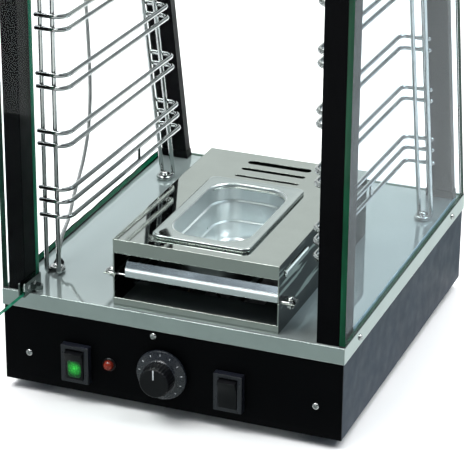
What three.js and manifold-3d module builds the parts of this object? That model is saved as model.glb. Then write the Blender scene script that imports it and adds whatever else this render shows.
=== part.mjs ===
// Hot food display case: a counter-top cabinet with a heated deck, a humidifier box with a water pan,
// glass on all sides, wire racks for shelves, and a hinged glass door on the service side.
// Millimetres, +Z up, service side at -Y. The origin is the centre of the base's flat underside.
import * as THREE from 'three';
import { mergeVertices } from 'three/addons/utils/BufferGeometryUtils.js';
import Module from 'manifold-3d';

const wasm = await Module();
wasm.setup();

// ---------- driving dimensions ----------
const CASE_W = 380; // deck width
const CASE_D = 430; // deck depth
const BASE_H = 105; // underside to deck surface
const GLASS_H = 430; // deck surface to the roof's underside
const ROOF_H = 40;
const LEAN = 0.23; // customer side leans in by this much for each millimetre of height
const FOOT_H = 12;
const FOOT_R = 16;
const SHEET = 1.2; // steel sheet
const FIT = 0.3; // gap between touching pieces
const SIDE_GLASS = 6;
const PANE_GLASS = 5; // door and customer pane
const SEAL_H = 1.5;

const HALF_W = CASE_W / 2;
const HALF_D = CASE_D / 2;
const LIP_H = 18; // folded edge of the deck
const ROOF_Z = BASE_H + GLASS_H; // ceiling level
const GLASS_IN_X = HALF_W - 0.2 - SIDE_GLASS; // inner face of each side glass
const WALL_X = HALF_W - SHEET - FIT; // outer face of the base's side walls
const PANEL_Y = -HALF_D + SHEET + FIT; // front face of the control panel
const PANEL_T = 1.5;

// Depth of the leaning customer pane's outer face at a height above the deck.
const REAR_Y = HALF_D - 3;
const rearAt = (height) => REAR_Y - LEAN * height;

// ---------- colours ----------
const BLACK = [0x0b0c0e, 0.45, 0.3];
const STEEL = [0xb9c2bf, 0.16, 1];
const CHROME = [0xd6d9d8, 0.1, 1];
const ZINC = [0x9a9d9c, 0.5, 0.9];
const GLASS = [0xbfe3d4, 0.05, 0];
const RUBBER = [0x151515, 0.85, 0];
const PLASTIC = [0x101114, 0.4, 0];

const part = new THREE.Group();
part.name = 'hot_food_display_case';

function add(name, geometry, look, parent = part) {
  const [color, roughness, metalness] = look;
  const mesh = new THREE.Mesh(geometry, new THREE.MeshStandardMaterial({ color, roughness, metalness }));
  mesh.name = name;
  parent.add(mesh);
  return mesh;
}

// ---------- solid helpers ----------
function toSolid(geometry) {
  const bare = geometry.clone();
  bare.deleteAttribute('normal');
  bare.deleteAttribute('uv');
  const merged = mergeVertices(bare, 1e-3);
  return new wasm.Manifold(new wasm.Mesh({
    numProp: 3,
    vertProperties: merged.attributes.position.array,
    triVerts: new Uint32Array(merged.index.array),
  }));
}

function toGeometry(solid) {
  const mesh = solid.getMesh();
  const geometry = new THREE.BufferGeometry();
  geometry.setAttribute('position', new THREE.BufferAttribute(new Float32Array(mesh.vertProperties), 3));
  geometry.setIndex(new THREE.BufferAttribute(new Uint32Array(mesh.triVerts), 1));
  geometry.computeVertexNormals();
  return geometry;
}

const join = (...pieces) => toGeometry(pieces.map(toSolid).reduce((all, one) => all.add(one)));
const cut = (body, ...tools) => (
  toGeometry(tools.map(toSolid).reduce((all, one) => all.subtract(one), toSolid(body)))
);

// Box between two corners.
function box(x0, x1, y0, y1, z0, z1) {
  const geometry = new THREE.BoxGeometry(x1 - x0, y1 - y0, z1 - z0);
  return geometry.translate((x0 + x1) / 2, (y0 + y1) / 2, (z0 + z1) / 2);
}

// Outline with rounded corners, centred on a point.
function roundedOutline(width, depth, radius, x = 0, y = 0) {
  const w = width / 2 - radius;
  const d = depth / 2 - radius;
  const shape = new THREE.Shape();
  shape.absarc(x + w, y - d, radius, -Math.PI / 2, 0, false);
  shape.absarc(x + w, y + d, radius, 0, Math.PI / 2, false);
  shape.absarc(x - w, y + d, radius, Math.PI / 2, Math.PI, false);
  shape.absarc(x - w, y - d, radius, Math.PI, 1.5 * Math.PI, false);
  return shape;
}

const slab = (shape, depth, curveSegments = 4) => new THREE.ExtrudeGeometry(shape, {
  depth, bevelEnabled: false, curveSegments,
});

// Slab whose outline lies in the Y-Z plane, between two X positions.
function sideSlab(points, x0, x1) {
  const shape = new THREE.Shape(points.map(([y, z]) => new THREE.Vector2(y, z)));
  const geometry = slab(shape, x1 - x0);
  geometry.rotateX(Math.PI / 2);
  geometry.rotateZ(Math.PI / 2);
  return geometry.translate(x0, 0, 0);
}

// Turned piece: profile of [radius, height] pairs from axis to axis, standing on +Z.
function turned(profile, segments = 16) {
  const geometry = new THREE.LatheGeometry(profile.map(([r, z]) => new THREE.Vector2(r, z)), segments);
  return geometry.rotateX(Math.PI / 2);
}

// Turned piece whose axis points at the viewer in front of the service side (-Y).
const turnedForward = (profile, segments) => turned(profile, segments).rotateX(Math.PI / 2);

const rod = (radius, z0, z1, segments = 12) => (
  turned([[0, z0], [radius, z0], [radius, z1], [0, z1]], segments)
);

// A path held as its own stations, so that straight runs cost nothing and bends stay round.
class StationPath extends THREE.Curve {
  constructor(stations) {
    super();
    this.stations = stations;
  }

  getPoint(t, target = new THREE.Vector3()) {
    const last = this.stations.length - 1;
    const index = Math.min(Math.round(t * last), last);
    return target.copy(this.stations[index]);
  }

  getPointAt(t, target) {
    return this.getPoint(t, target);
  }

  getTangentAt(t, target = new THREE.Vector3()) {
    const last = this.stations.length - 1;
    const index = Math.min(Math.round(t * last), last);
    const here = this.stations[index];
    const back = this.stations[Math.max(index - 1, 0)];
    const ahead = this.stations[Math.min(index + 1, last)];
    const arriving = here.clone().sub(back).normalize();
    const leaving = ahead.clone().sub(here).normalize();
    return target.copy(arriving).add(leaving).normalize();
  }
}

// Stations of a path through corner points, each inner corner rounded by the bend radius or by
// the corner's own fourth number.
function bentPath(corners, usualBend, steps = 4) {
  const points = corners.map(([x, y, z]) => new THREE.Vector3(x, y, z));
  const stations = [points[0]];
  for (let i = 1; i < points.length - 1; i += 1) {
    const bend = corners[i][3] ?? usualBend;
    const arriving = points[i].clone().sub(points[i - 1]).normalize();
    const leaving = points[i + 1].clone().sub(points[i]).normalize();
    const half = arriving.angleTo(leaving) / 2;
    const reach = bend * Math.tan(half);
    const start = points[i].clone().addScaledVector(arriving, -reach);
    const inward = leaving.clone().sub(arriving).normalize();
    const centre = points[i].clone().addScaledVector(inward, bend / Math.cos(half));
    const first = start.clone().sub(centre);
    const axis = arriving.clone().cross(leaving).normalize();
    for (let k = 0; k <= steps; k += 1) {
      stations.push(centre.clone().add(first.clone().applyAxisAngle(axis, (2 * half * k) / steps)));
    }
  }
  stations.push(points[points.length - 1]);
  return stations;
}

// Round wire or tube along stations.
function wire(stations, radius, sides = 8) {
  const section = new THREE.Shape();
  for (let i = 0; i < sides; i += 1) {
    const angle = (2 * Math.PI * i) / sides;
    const x = radius * Math.cos(angle);
    const y = radius * Math.sin(angle);
    if (i === 0) section.moveTo(x, y);
    else section.lineTo(x, y);
  }
  section.closePath();
  return new THREE.ExtrudeGeometry(section, {
    steps: stations.length - 1,
    extrudePath: new StationPath(stations),
  });
}

// ---------- base ----------
const PANEL_BACK_Y = PANEL_Y + PANEL_T;
const SHELL_FRONT_Y = PANEL_BACK_Y + FIT;
const SHELL_REAR_Y = HALF_D - SHEET - FIT;
const SHELL_TOP = BASE_H - SHEET - FIT;
const FLANGE = 18;
const PLATE_X = WALL_X - SHEET - FIT;
const PLATE_FRONT_Y = SHELL_FRONT_Y + FIT;
const PLATE_REAR_Y = SHELL_REAR_Y - SHEET - FIT;
const FOOT_X = 155;
const FOOT_Y = 178;
const FOOT_ROOM = FOOT_R + 0.6; // half width of the notch in the bottom plate's corner
const GUSSET = 3; // overlap of the shell's corner gusset on the bottom plate
const INLET_X = 120;
const INLET_Z = 45;

function baseShell() {
  const body = box(-WALL_X, WALL_X, SHELL_FRONT_Y, SHELL_REAR_Y, 0, SHELL_TOP);
  const innerX = WALL_X - SHEET;
  const innerRear = SHELL_REAR_Y - SHEET;
  const flangeLow = SHEET + FIT;
  const flangeHigh = flangeLow + SHEET;
  const room = box(-innerX, innerX, -HALF_D, innerRear, flangeHigh, BASE_H);
  const under = box(-innerX, innerX, -HALF_D, innerRear, -1, flangeLow);
  const gussetX = FOOT_X - FOOT_ROOM - GUSSET;
  const gussetY = FOOT_Y - FOOT_ROOM - GUSSET;
  const openings = [
    box(-innerX + FLANGE, innerX - FLANGE, -gussetY, gussetY, 0, 5),
    box(-gussetX, gussetX, SHELL_FRONT_Y + FLANGE, innerRear - FLANGE, 0, 5),
  ];
  const inlet = box(INLET_X - 13.5, INLET_X + 13.5, innerRear - 5, HALF_D, INLET_Z - 10, INLET_Z + 10);
  const vents = [-110, -80, -50, -20].map((x) => (
    box(x - 9, x + 9, innerRear - 5, HALF_D, 42, 48)
  ));
  return cut(body, room, under, ...openings, inlet, ...vents);
}
add('base_shell', baseShell(), BLACK);

// The bottom plate is notched at its corners, where the feet stand against the shell's gussets.
const footNotches = [];
for (const [side, sx] of [['left', -1], ['right', 1]]) {
  for (const [end, sy] of [['front', -1], ['rear', 1]]) {
    const top = FOOT_H + SHEET;
    const foot = turned([[0, 0], [FOOT_R - 2, 0], [FOOT_R, 2], [FOOT_R - 2, top], [0, top]]);
    foot.translate(sx * FOOT_X, sy * FOOT_Y, -FOOT_H);
    add(`foot_${end}_${side}`, foot, RUBBER);
    const [x0, x1] = [sx * (FOOT_X - FOOT_ROOM), sx * HALF_W].sort((a, b) => a - b);
    const [y0, y1] = [sy * (FOOT_Y - FOOT_ROOM), sy * HALF_D].sort((a, b) => a - b);
    footNotches.push(box(x0, x1, y0, y1, -1, 5));
  }
}
add('bottom_plate', cut(box(-PLATE_X, PLATE_X, PLATE_FRONT_Y, PLATE_REAR_Y, 0, SHEET), ...footNotches), ZINC);

// ---------- controls ----------
const HEAT_X = -104.1;
const LIGHT_X = 67.7;
const SWITCH_Z = 34.4;
const SWITCH_W = 31;
const SWITCH_H = 42;
const CUTOUT_W = 25;
const CUTOUT_H = 37;
const PILOT_X = -68;
const PILOT_Z = 38.1;
const KNOB_X = -6.4;
const KNOB_Z = 40.4;
const PANEL_SCREWS = { left: [-160.4, 34.6], top: [-17.7, 80.1], right: [160.4, 34.6] };

const panelHole = (radius, x, z) => turnedForward([[0, -6], [radius, -6], [radius, 6], [0, 6]], 16)
  .translate(x, PANEL_Y, z);

function controlPanel() {
  const plate = box(-WALL_X, WALL_X, PANEL_Y, PANEL_BACK_Y, 0, SHELL_TOP);
  const switches = [HEAT_X, LIGHT_X].map((x) => (
    box(x - CUTOUT_W / 2, x + CUTOUT_W / 2, PANEL_Y - 5, PANEL_BACK_Y + 5,
      SWITCH_Z - CUTOUT_H / 2, SWITCH_Z + CUTOUT_H / 2)
  ));
  const screws = Object.values(PANEL_SCREWS).map(([x, z]) => panelHole(2.3, x, z));
  return cut(plate, ...switches, panelHole(6.3, PILOT_X, PILOT_Z), panelHole(5.3, KNOB_X, KNOB_Z), ...screws);
}
add('control_panel', controlPanel(), BLACK);

const SCREW_PROFILE = [[0, -7], [2, -7], [2, FIT], [3.9, FIT], [3.4, 1.5], [1.6, 2.2], [0, 2.3]];
for (const [where, [x, z]] of Object.entries(PANEL_SCREWS)) {
  add(`panel_screw_${where}`, turnedForward(SCREW_PROFILE, 12).translate(x, PANEL_Y, z), CHROME);
}

// Switch: a deep frame with its body through the panel, and a rocker on an axle in the frame's mouth.
const FRAME_D = 8.5;
const ROCKER_AXIS_Y = PANEL_Y - 4;
const ROCKER_W = 20;
const ROCKER_H = 31;
const MOUTH_W = ROCKER_W + 1.2;
const MOUTH_H = ROCKER_H + 3;
const AXLE_R = 1.5;
const AXLE_HALF = 12.2;
const ROCK_DEG = 8; // each way from level

const crossAxle = (radius, half) => rod(radius, -half, half, 12).rotateY(Math.PI / 2);

function switchBody(x) {
  const frame = box(-SWITCH_W / 2, SWITCH_W / 2, -FRAME_D, -FIT, -SWITCH_H / 2, SWITCH_H / 2);
  const body = box(-CUTOUT_W / 2 + FIT, CUTOUT_W / 2 - FIT, -1, 24,
    -CUTOUT_H / 2 + FIT, CUTOUT_H / 2 - FIT);
  const tabs = [-9, 0, 9].map((z) => box(-3.2, 3.2, 23, 32, z - 0.5, z + 0.5));
  const mouth = box(-MOUTH_W / 2, MOUTH_W / 2, -FRAME_D - 1, 11, -MOUTH_H / 2, MOUTH_H / 2);
  const bearings = crossAxle(AXLE_R + 0.07, AXLE_HALF + FIT).translate(0, ROCKER_AXIS_Y - PANEL_Y, 0);
  return cut(join(frame, body, ...tabs), mouth, bearings).translate(x, PANEL_Y, SWITCH_Z);
}

// The rocker's outline in depth and height about its axle: two faces that meet at a shallow angle.
function rocker(x) {
  const half = ROCKER_H / 2;
  const outline = [[-8, half], [-8, -half], [0, -half], [6, -4], [6, 4], [0, half]];
  const body = sideSlab(outline, -ROCKER_W / 2, ROCKER_W / 2);
  const dish = sideSlab([[-9, half - 1], [-9, 1 - half], [-8, 1 - half], [-5.8, 0], [-8, half - 1]],
    -ROCKER_W, ROCKER_W);
  const tilted = join(cut(body, dish), crossAxle(AXLE_R, AXLE_HALF));
  return tilted.rotateX(THREE.MathUtils.degToRad(ROCK_DEG)).translate(x, ROCKER_AXIS_Y, SWITCH_Z);
}
add('heat_switch_body', switchBody(HEAT_X), PLASTIC);
add('heat_rocker', rocker(HEAT_X), [0x0f7a35, 0.25, 0]);
add('light_switch_body', switchBody(LIGHT_X), PLASTIC);
add('light_rocker', rocker(LIGHT_X), PLASTIC);

const PILOT_PROFILE = [[0, -18], [5.8, -18], [5.8, FIT], [7.6, FIT], [7.6, 1.6], [5.6, 2.6],
  [5, 5.4], [2.8, 7.2], [0, 7.8]];
add('pilot_lamp', turnedForward(PILOT_PROFILE, 20).translate(PILOT_X, PANEL_Y, PILOT_Z), [0xb02818, 0.3, 0]);

// Thermostat: body behind the panel with its spindle, and the knob on the spindle.
const SPINDLE_END = 14;
const thermostat = join(
  box(KNOB_X - 18, KNOB_X + 18, PANEL_BACK_Y + FIT, PANEL_BACK_Y + 26, KNOB_Z - 16, KNOB_Z + 16),
  turnedForward([[0, -6], [4.9, -6], [4.9, 3], [3, 3], [3, SPINDLE_END], [0, SPINDLE_END]], 16)
    .translate(KNOB_X, PANEL_Y, KNOB_Z),
);
add('thermostat', thermostat, ZINC);

const KNOB_R = 28;
const KNOB_PROFILE = [[0, SPINDLE_END + FIT], [3.3, SPINDLE_END + FIT], [3.3, 4], [KNOB_R - 1, 4],
  [KNOB_R, 5], [KNOB_R - 0.6, 7.6], [19.5, 10.4], [18.2, 12], [16.6, 27], [15, 28.4], [0, 28.4]];
const knobBody = turnedForward(KNOB_PROFILE, 24).translate(KNOB_X, PANEL_Y, KNOB_Z);
const knobRib = box(KNOB_X - 1.2, KNOB_X + 1.2, PANEL_Y - 29.2, PANEL_Y - 20, KNOB_Z + 3, KNOB_Z + 13.6);
add('thermostat_knob', join(knobBody, knobRib), PLASTIC);

// ---------- inside the base ----------
const COIL_Z = 88;
const COIL_R = 4;
function heatingElement() {
  const corners = [[-110, -150, 60], [-110, -150, COIL_Z]];
  const runs = [-110, -60, -10, 40, 90];
  runs.forEach((x, i) => {
    const [near, far] = i % 2 === 0 ? [-150, 120] : [120, -150];
    if (i > 0) corners.push([x, near, COIL_Z]);
    corners.push([x, far, COIL_Z]);
  });
  corners.push([130, 120, COIL_Z], [130, 120, 60]);
  return wire(bentPath(corners, 12, 3), COIL_R, 6);
}
add('heating_element', heatingElement(), [0x5f6160, 0.5, 0.8]);

// Bridge that carries the element over the bottom plate.
const bridgeTop = COIL_Z - COIL_R - FIT;
const bridgeLow = SHEET + FIT;
add('heater_bracket', cut(
  box(-124, 140, -26, -6, bridgeLow, bridgeTop),
  box(-122.5, 138.5, -30, 0, bridgeLow - 1, bridgeTop - 1.5),
), ZINC);

const TERMINALS_X = -130;
const terminals = [0, 1, 2, 3].map((i) => (
  box(TERMINALS_X + 4 + 13 * i, TERMINALS_X + 12 + 13 * i, 150, 174, 12, 15.5)
));
const terminalBody = box(TERMINALS_X, TERMINALS_X + 55, 146, 178, SHEET + FIT, 15);
add('terminal_block', cut(terminalBody, ...terminals), [0xd9d6cc, 0.5, 0]);

// Appliance inlet: flanged socket for a detachable mains lead, with three blades.
function inlet() {
  const inner = SHELL_REAR_Y;
  const flange = box(INLET_X - 25, INLET_X + 25, inner + FIT, inner + 3.3, INLET_Z - 14, INLET_Z + 14);
  const body = box(INLET_X - 13.2, INLET_X + 13.2, inner - 22, inner + 2, INLET_Z - 9.7, INLET_Z + 9.7);
  const socket = box(INLET_X - 11.8, INLET_X + 11.8, inner - 16, inner + 6, INLET_Z - 8, INLET_Z + 8);
  const blades = [[-7, -2], [0, 2], [7, -2]].map(([dx, dz]) => (
    box(INLET_X + dx - 1, INLET_X + dx + 1, inner - 17, inner - 4, INLET_Z + dz - 2, INLET_Z + dz + 2)
  ));
  const hollow = toSolid(join(flange, body)).subtract(toSolid(socket));
  return toGeometry(blades.map(toSolid).reduce((all, one) => all.add(one), hollow));
}
add('power_inlet', inlet(), PLASTIC);

// ---------- deck ----------
const DOOR_PIVOT_X = -150.8;
const DOOR_PIVOT_Y = -206.8;
const PIN_R = 2.5;
const SCREW_Y = 166;
const SCREW_Z = 96;
const GLAND_X = -160;
const GLAND_Y = -137.7;
const VENT_Y = [-150, 20]; // hot air rises into the humidifier box
const VENTS = [-28, 12, 52];
const VENT_W = 28;
const RACK_SCREWS = {
  front_left: [-154.7, -154.6], rear_left: [-148.5, 126.6],
  front_right: [158.4, -154.6], rear_right: [163.5, 126.6],
};

function deckTray() {
  const body = box(-HALF_W, HALF_W, -HALF_D, HALF_D, BASE_H - LIP_H, BASE_H);
  const hollow = box(-HALF_W + SHEET, HALF_W - SHEET, -HALF_D + SHEET, HALF_D - SHEET, 0, BASE_H - SHEET);
  const vents = VENTS.map((x) => box(x, x + VENT_W, ...VENT_Y, 90, 120));
  const hole = (radius, x, y) => rod(radius, 90, 120).translate(x, y, 0);
  const holes = Object.values(RACK_SCREWS).map(([x, y]) => hole(2.4, x, y));
  return cut(body, hollow, ...vents, ...holes,
    hole(PIN_R + FIT, DOOR_PIVOT_X, DOOR_PIVOT_Y), hole(4.5, GLAND_X, GLAND_Y));
}
add('deck_tray', deckTray(), STEEL);

const lipScrew = [[0, FIT], [4, FIT], [4, 1], [2.4, 2.4], [0, 2.7]];
for (const [side, sx] of [['left', -1], ['right', 1]]) {
  const head = turned(lipScrew, 12).rotateY((sx * Math.PI) / 2);
  add(`deck_screw_${side}`, head.translate(sx * HALF_W, -SCREW_Y, SCREW_Z), CHROME);
}

// ---------- glass case ----------
const GLASS_FRONT_Y = -HALF_D + 1.2;
const glassLow = BASE_H + SEAL_H + 2 * FIT;
const glassHigh = ROOF_Z - FIT;
const sideOutline = [
  [GLASS_FRONT_Y, glassLow], [rearAt(glassLow - BASE_H), glassLow],
  [rearAt(glassHigh - BASE_H), glassHigh], [GLASS_FRONT_Y, glassHigh],
];
for (const [side, sx] of [['left', -1], ['right', 1]]) {
  const inner = sx * GLASS_IN_X;
  const outer = sx * (GLASS_IN_X + SIDE_GLASS);
  const [x0, x1] = [Math.min(inner, outer), Math.max(inner, outer)];
  add(`side_glass_${side}`, sideSlab(sideOutline, x0, x1), GLASS);
  add(`glass_seal_${side}`, box(x0 - 0.1, x1 - 0.1, GLASS_FRONT_Y, REAR_Y, BASE_H + FIT, BASE_H + FIT + SEAL_H),
    RUBBER);
}

// A slab that leans with the customer side, between two depths behind its outer face.
function leaningOutline(near, far, low, high) {
  return [[rearAt(low) - far, BASE_H + low], [rearAt(low) - near, BASE_H + low],
    [rearAt(high) - near, BASE_H + high], [rearAt(high) - far, BASE_H + high]];
}
const slant = Math.hypot(1, LEAN);
const paneDepth = PANE_GLASS * slant;
const paneX = GLASS_IN_X - FIT;
add('customer_glass', sideSlab(leaningOutline(0, paneDepth, FIT, GLASS_H - FIT), -paneX, paneX), GLASS);

const POST_X = 148.3;
const POST_W = 30;
const POST_D = 12.3;
for (const [side, sx] of [['left', -1], ['right', 1]]) {
  const [x0, x1] = [sx * POST_X, sx * (POST_X + POST_W)].sort((a, b) => a - b);
  const near = paneDepth + FIT;
  const outline = leaningOutline(near, near + POST_D, FIT, GLASS_H - FIT);
  const footing = leaningOutline(near, near + POST_D + 1.5, FIT, 10);
  add(`post_${side}`, join(sideSlab(outline, x0, x1), sideSlab(footing, x0 - 1, x1 + 1)), BLACK);
}

// Service-side jambs: folded box sections, open at both ends.
const JAMB_FRONT_Y = -212;
const JAMB_D = 35;
const JAMB_SPAN = { left: [-GLASS_IN_X + FIT, -164.8], right: [158.8, GLASS_IN_X - FIT] };
for (const [side, [x0, x1]] of Object.entries(JAMB_SPAN)) {
  const outer = roundedOutline(x1 - x0, JAMB_D, 1.2, (x0 + x1) / 2, JAMB_FRONT_Y + JAMB_D / 2);
  outer.holes.push(roundedOutline(x1 - x0 - 3, JAMB_D - 3, 0.6, (x0 + x1) / 2, JAMB_FRONT_Y + JAMB_D / 2));
  add(`jamb_${side}`, slab(outer, GLASS_H - 2 * FIT, 2).translate(0, 0, BASE_H + FIT), BLACK);
}

// ---------- door ----------
// The door is made closed, about its pivot axis, and the group turns it to its open rest position.
const DOOR_OPEN_DEG = 92;
const PANE_OFFSET = 6; // pivot axis to the pane's middle plane
const PANE_TAIL = 9; // pivot axis to the pane's hinged edge
const PANE_REACH = 307.7; // pivot axis to the pane's free edge
const CLAMP_PLATE = 1.5;
const CLAMP_L = 35.5;
const CLAMP_H = 15;
const CLAMP_LIFT = 3; // deck to the clamp's underside
const LUG_T = 4.5;

const door = new THREE.Group();
door.position.set(DOOR_PIVOT_X, DOOR_PIVOT_Y, 0);
door.rotation.z = THREE.MathUtils.degToRad(-DOOR_OPEN_DEG);
part.add(door);

const paneFront = -PANE_OFFSET - PANE_GLASS / 2;
const paneBack = -PANE_OFFSET + PANE_GLASS / 2;
const clampFront = paneFront - FIT - CLAMP_PLATE;
const clampBack = paneBack + FIT + CLAMP_PLATE;
const paneLow = BASE_H + CLAMP_LIFT + CLAMP_PLATE + FIT;
const paneHigh = ROOF_Z - CLAMP_LIFT - CLAMP_PLATE - FIT;

// Channel that grips the pane's corner, with a lug that turns on the pivot pin. It opens up or down.
function doorClamp(up) {
  const level = (...heights) => heights.map((height) => up * height).sort((a, b) => a - b);
  const lugDepth = 5 - clampFront;
  const lug = slab(roundedOutline(10, lugDepth, 4.9, 0, 5 - lugDepth / 2), LUG_T, 6);
  lug.translate(0, 0, level(0, LUG_T)[0]);
  const channel = box(-PANE_TAIL, CLAMP_L - PANE_TAIL, clampFront, clampBack, ...level(0, CLAMP_H));
  const groove = box(-PANE_TAIL - 1, CLAMP_L, paneFront - FIT, paneBack + FIT,
    ...level(CLAMP_PLATE, CLAMP_H + 1));
  const bearing = rod(PIN_R + 0.1, -LUG_T - 5, LUG_T + 5, 24);
  return cut(join(channel, lug), groove, bearing);
}
add('door_clamp_lower', doorClamp(1).translate(0, 0, BASE_H + CLAMP_LIFT), ZINC, door);
add('door_clamp_upper', doorClamp(-1).translate(0, 0, ROOF_Z - CLAMP_LIFT), ZINC, door);

const KNOB_REACH = 284; // pivot axis to the door knob
const KNOB_LEVEL = BASE_H + 200;
const doorKnob = turnedForward([[0, -6.4], [7, -6.4], [7, -FIT], [3.6, -FIT], [3.6, PANE_GLASS + FIT],
  [6.5, PANE_GLASS + FIT], [6, PANE_GLASS + 9], [11, PANE_GLASS + 14], [11.5, PANE_GLASS + 18],
  [9, PANE_GLASS + 21], [0, PANE_GLASS + 22]], 20);
const knobHole = rod(4, -10, 10, 16).rotateX(Math.PI / 2).translate(KNOB_REACH, -PANE_OFFSET, KNOB_LEVEL);
const pane = box(-PANE_TAIL, PANE_REACH, paneFront, paneBack, paneLow, paneHigh);
add('door_glass', cut(pane, knobHole), GLASS, door);
add('door_handle', doorKnob.translate(KNOB_REACH, paneBack, KNOB_LEVEL), CHROME, door);
const STRIKER_X = 277;
add('door_striker', box(STRIKER_X, STRIKER_X + 24, paneBack + FIT, paneBack + 1.2, paneHigh - 11, paneHigh - 1),
  ZINC, door);

// Pivot pins: collar against the case, shank through the sheet, nose in the clamp's bearing.
const PIN_PROFILE = [[0, -9], [PIN_R, -9], [PIN_R, FIT], [4.5, FIT], [4.5, CLAMP_LIFT - FIT],
  [PIN_R, CLAMP_LIFT - FIT], [PIN_R, 7.2], [0, 7.2]];
const lowerPin = turned(PIN_PROFILE, 16).translate(DOOR_PIVOT_X, DOOR_PIVOT_Y, BASE_H);
const upperPin = turned(PIN_PROFILE, 16).rotateX(Math.PI).translate(DOOR_PIVOT_X, DOOR_PIVOT_Y, ROOF_Z);
add('pivot_pin_lower', lowerPin, CHROME);
add('pivot_pin_upper', upperPin, CHROME);

// ---------- racks ----------
const WIRE_R = 2.5;
const WELD = 4.2; // centre distance of two welded wires
const HAIRPIN_GAP = 14; // between the two uprights of a hairpin
const FRONT_BEND = 13;
const REAR_BEND = 9;
const HOOP_END = 5; // from the outer upright to a hoop's free end
const HOOP_STANDOFF = 15; // from the inner upright to the hoop's long side
const RACK_FRONT_Y = -164;
const RACK_REAR_Y = 136;
const HOOP_HEIGHTS = [70, 87, 101, 150, 164, 213, 227, 276, 290, 339, 353];
const RACK_TOP = 426;
const RACK_TIE_Y = 8; // short link between the two lowest hoops
const RACKS = { // the racks stand slightly askew: their outer uprights' X at the front and at the rear
  left: { inward: 1, frontX: -161.7, rearX: -155.5 },
  right: { inward: -1, frontX: 165.4, rearX: 170.5 },
};
const rackRearAt = (height) => RACK_REAR_Y - LEAN * height;

// Two uprights made from one wire, with its bottom bend laid flat on the deck as a foot.
function hairpin(x0, x1, footY, topY, toMiddle) {
  const footZ = BASE_H + FIT + WIRE_R;
  const endY = footY + toMiddle * (WIRE_R + HAIRPIN_GAP);
  const top = BASE_H + RACK_TOP;
  const turn = HAIRPIN_GAP / 2 - 0.05;
  return wire(bentPath([
    [x0, topY, top], [x0, footY, footZ, WIRE_R + 1], [x0, endY, footZ, turn],
    [x1, endY, footZ, turn], [x1, footY, footZ, WIRE_R + 1], [x1, topY, top],
  ], WIRE_R, 3), WIRE_R, 6);
}

// C-shaped wire that holds a shelf, open towards the side glass.
function hoop(height, inward, frontX, rearX) {
  const z = BASE_H + height;
  const front = RACK_FRONT_Y - WELD;
  const rear = rackRearAt(height) + WELD;
  const run = inward * (HAIRPIN_GAP + HOOP_STANDOFF);
  const end = inward * HOOP_END;
  const corners = [
    [frontX - end, front, z], [frontX + run, front, z, FRONT_BEND],
    [rearX + run, rear, z, REAR_BEND], [rearX - end, rear, z],
  ];
  return wire(bentPath(corners, FRONT_BEND, 3), WIRE_R, 6);
}

function rack({ inward, frontX, rearX }) {
  const hoops = HOOP_HEIGHTS.map((height) => hoop(height, inward, frontX, rearX));
  const low = rackRearAt(0);
  const high = rackRearAt(RACK_TOP);
  const across = inward * HAIRPIN_GAP;
  const along = (RACK_TIE_Y - RACK_FRONT_Y) / (low - RACK_FRONT_Y);
  const tieX = frontX + (rearX - frontX) * along + across + inward * HOOP_STANDOFF;
  const tie = box(-2, 2, -1.8, 1.8, HOOP_HEIGHTS[0], HOOP_HEIGHTS[1]).translate(tieX, RACK_TIE_Y, BASE_H);
  const caps = [[frontX, RACK_FRONT_Y - WELD], [rearX, high + WELD]].map(([x, y]) => (
    rod(WIRE_R, -HAIRPIN_GAP / 2 - 3, HAIRPIN_GAP / 2 + 3, 8).rotateY(Math.PI / 2)
      .translate(x + across / 2, y, BASE_H + RACK_TOP - 4)
  ));
  return join(
    hairpin(frontX, frontX + across, RACK_FRONT_Y, RACK_FRONT_Y, 1),
    hairpin(rearX, rearX + across, low, high, -1),
    ...hoops, tie, ...caps,
  );
}
for (const [side, place] of Object.entries(RACKS)) {
  add(`rack_${side}`, rack(place), CHROME);
}

const WASHER_Z = 2 * (FIT + WIRE_R);
const RACK_SCREW_PROFILE = [[0, -7], [2, -7], [2, WASHER_Z], [6.2, WASHER_Z], [6.2, WASHER_Z + 1],
  [4, WASHER_Z + 1], [3.4, WASHER_Z + 2.6], [1.6, WASHER_Z + 3.5], [0, WASHER_Z + 3.6]];
for (const [where, [x, y]] of Object.entries(RACK_SCREWS)) {
  add(`rack_screw_${where}`, turned(RACK_SCREW_PROFILE, 12).translate(x, y, BASE_H), CHROME);
}

// ---------- humidifier ----------
const BOX_X = [-63.8, 117.4];
const BOX_Y = [-209.5, 62];
const BOX_H = 75;
const BOX_LOW = BASE_H + FIT;
const BOX_TOP = BOX_LOW + BOX_H;
const BOX_FRONT_LIP = 15;
const BOX_LOW_LIP = 9.4;
const PAN_X = 24;
const PAN_Y = -106;
const PAN_W = 108; // one-ninth gastronorm
const PAN_L = 172;
const PAN_OPENING_Y = -104;
const PAN_DEPTH = 65;
const EAR_Z = 139.5;
const EAR_T = 1.5;
const EAR_Y = -199;
const EAR_SCREWS = { left: -69, right: 126 };
const RIB_W = 7; // pressed stiffening rib in each side wall
const RIB_L = 68;
const RIB_T = 1.4;
const RIB_Y = -159;
const RIB_Z = 165;
const STEAM_SLOTS = [[38, 10], [18, 7], [-3, 5]]; // depth and width of each slot in the box's top

const slot = (length, width) => roundedOutline(length, width, Math.min(length, width) / 2 - 0.05);

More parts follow.
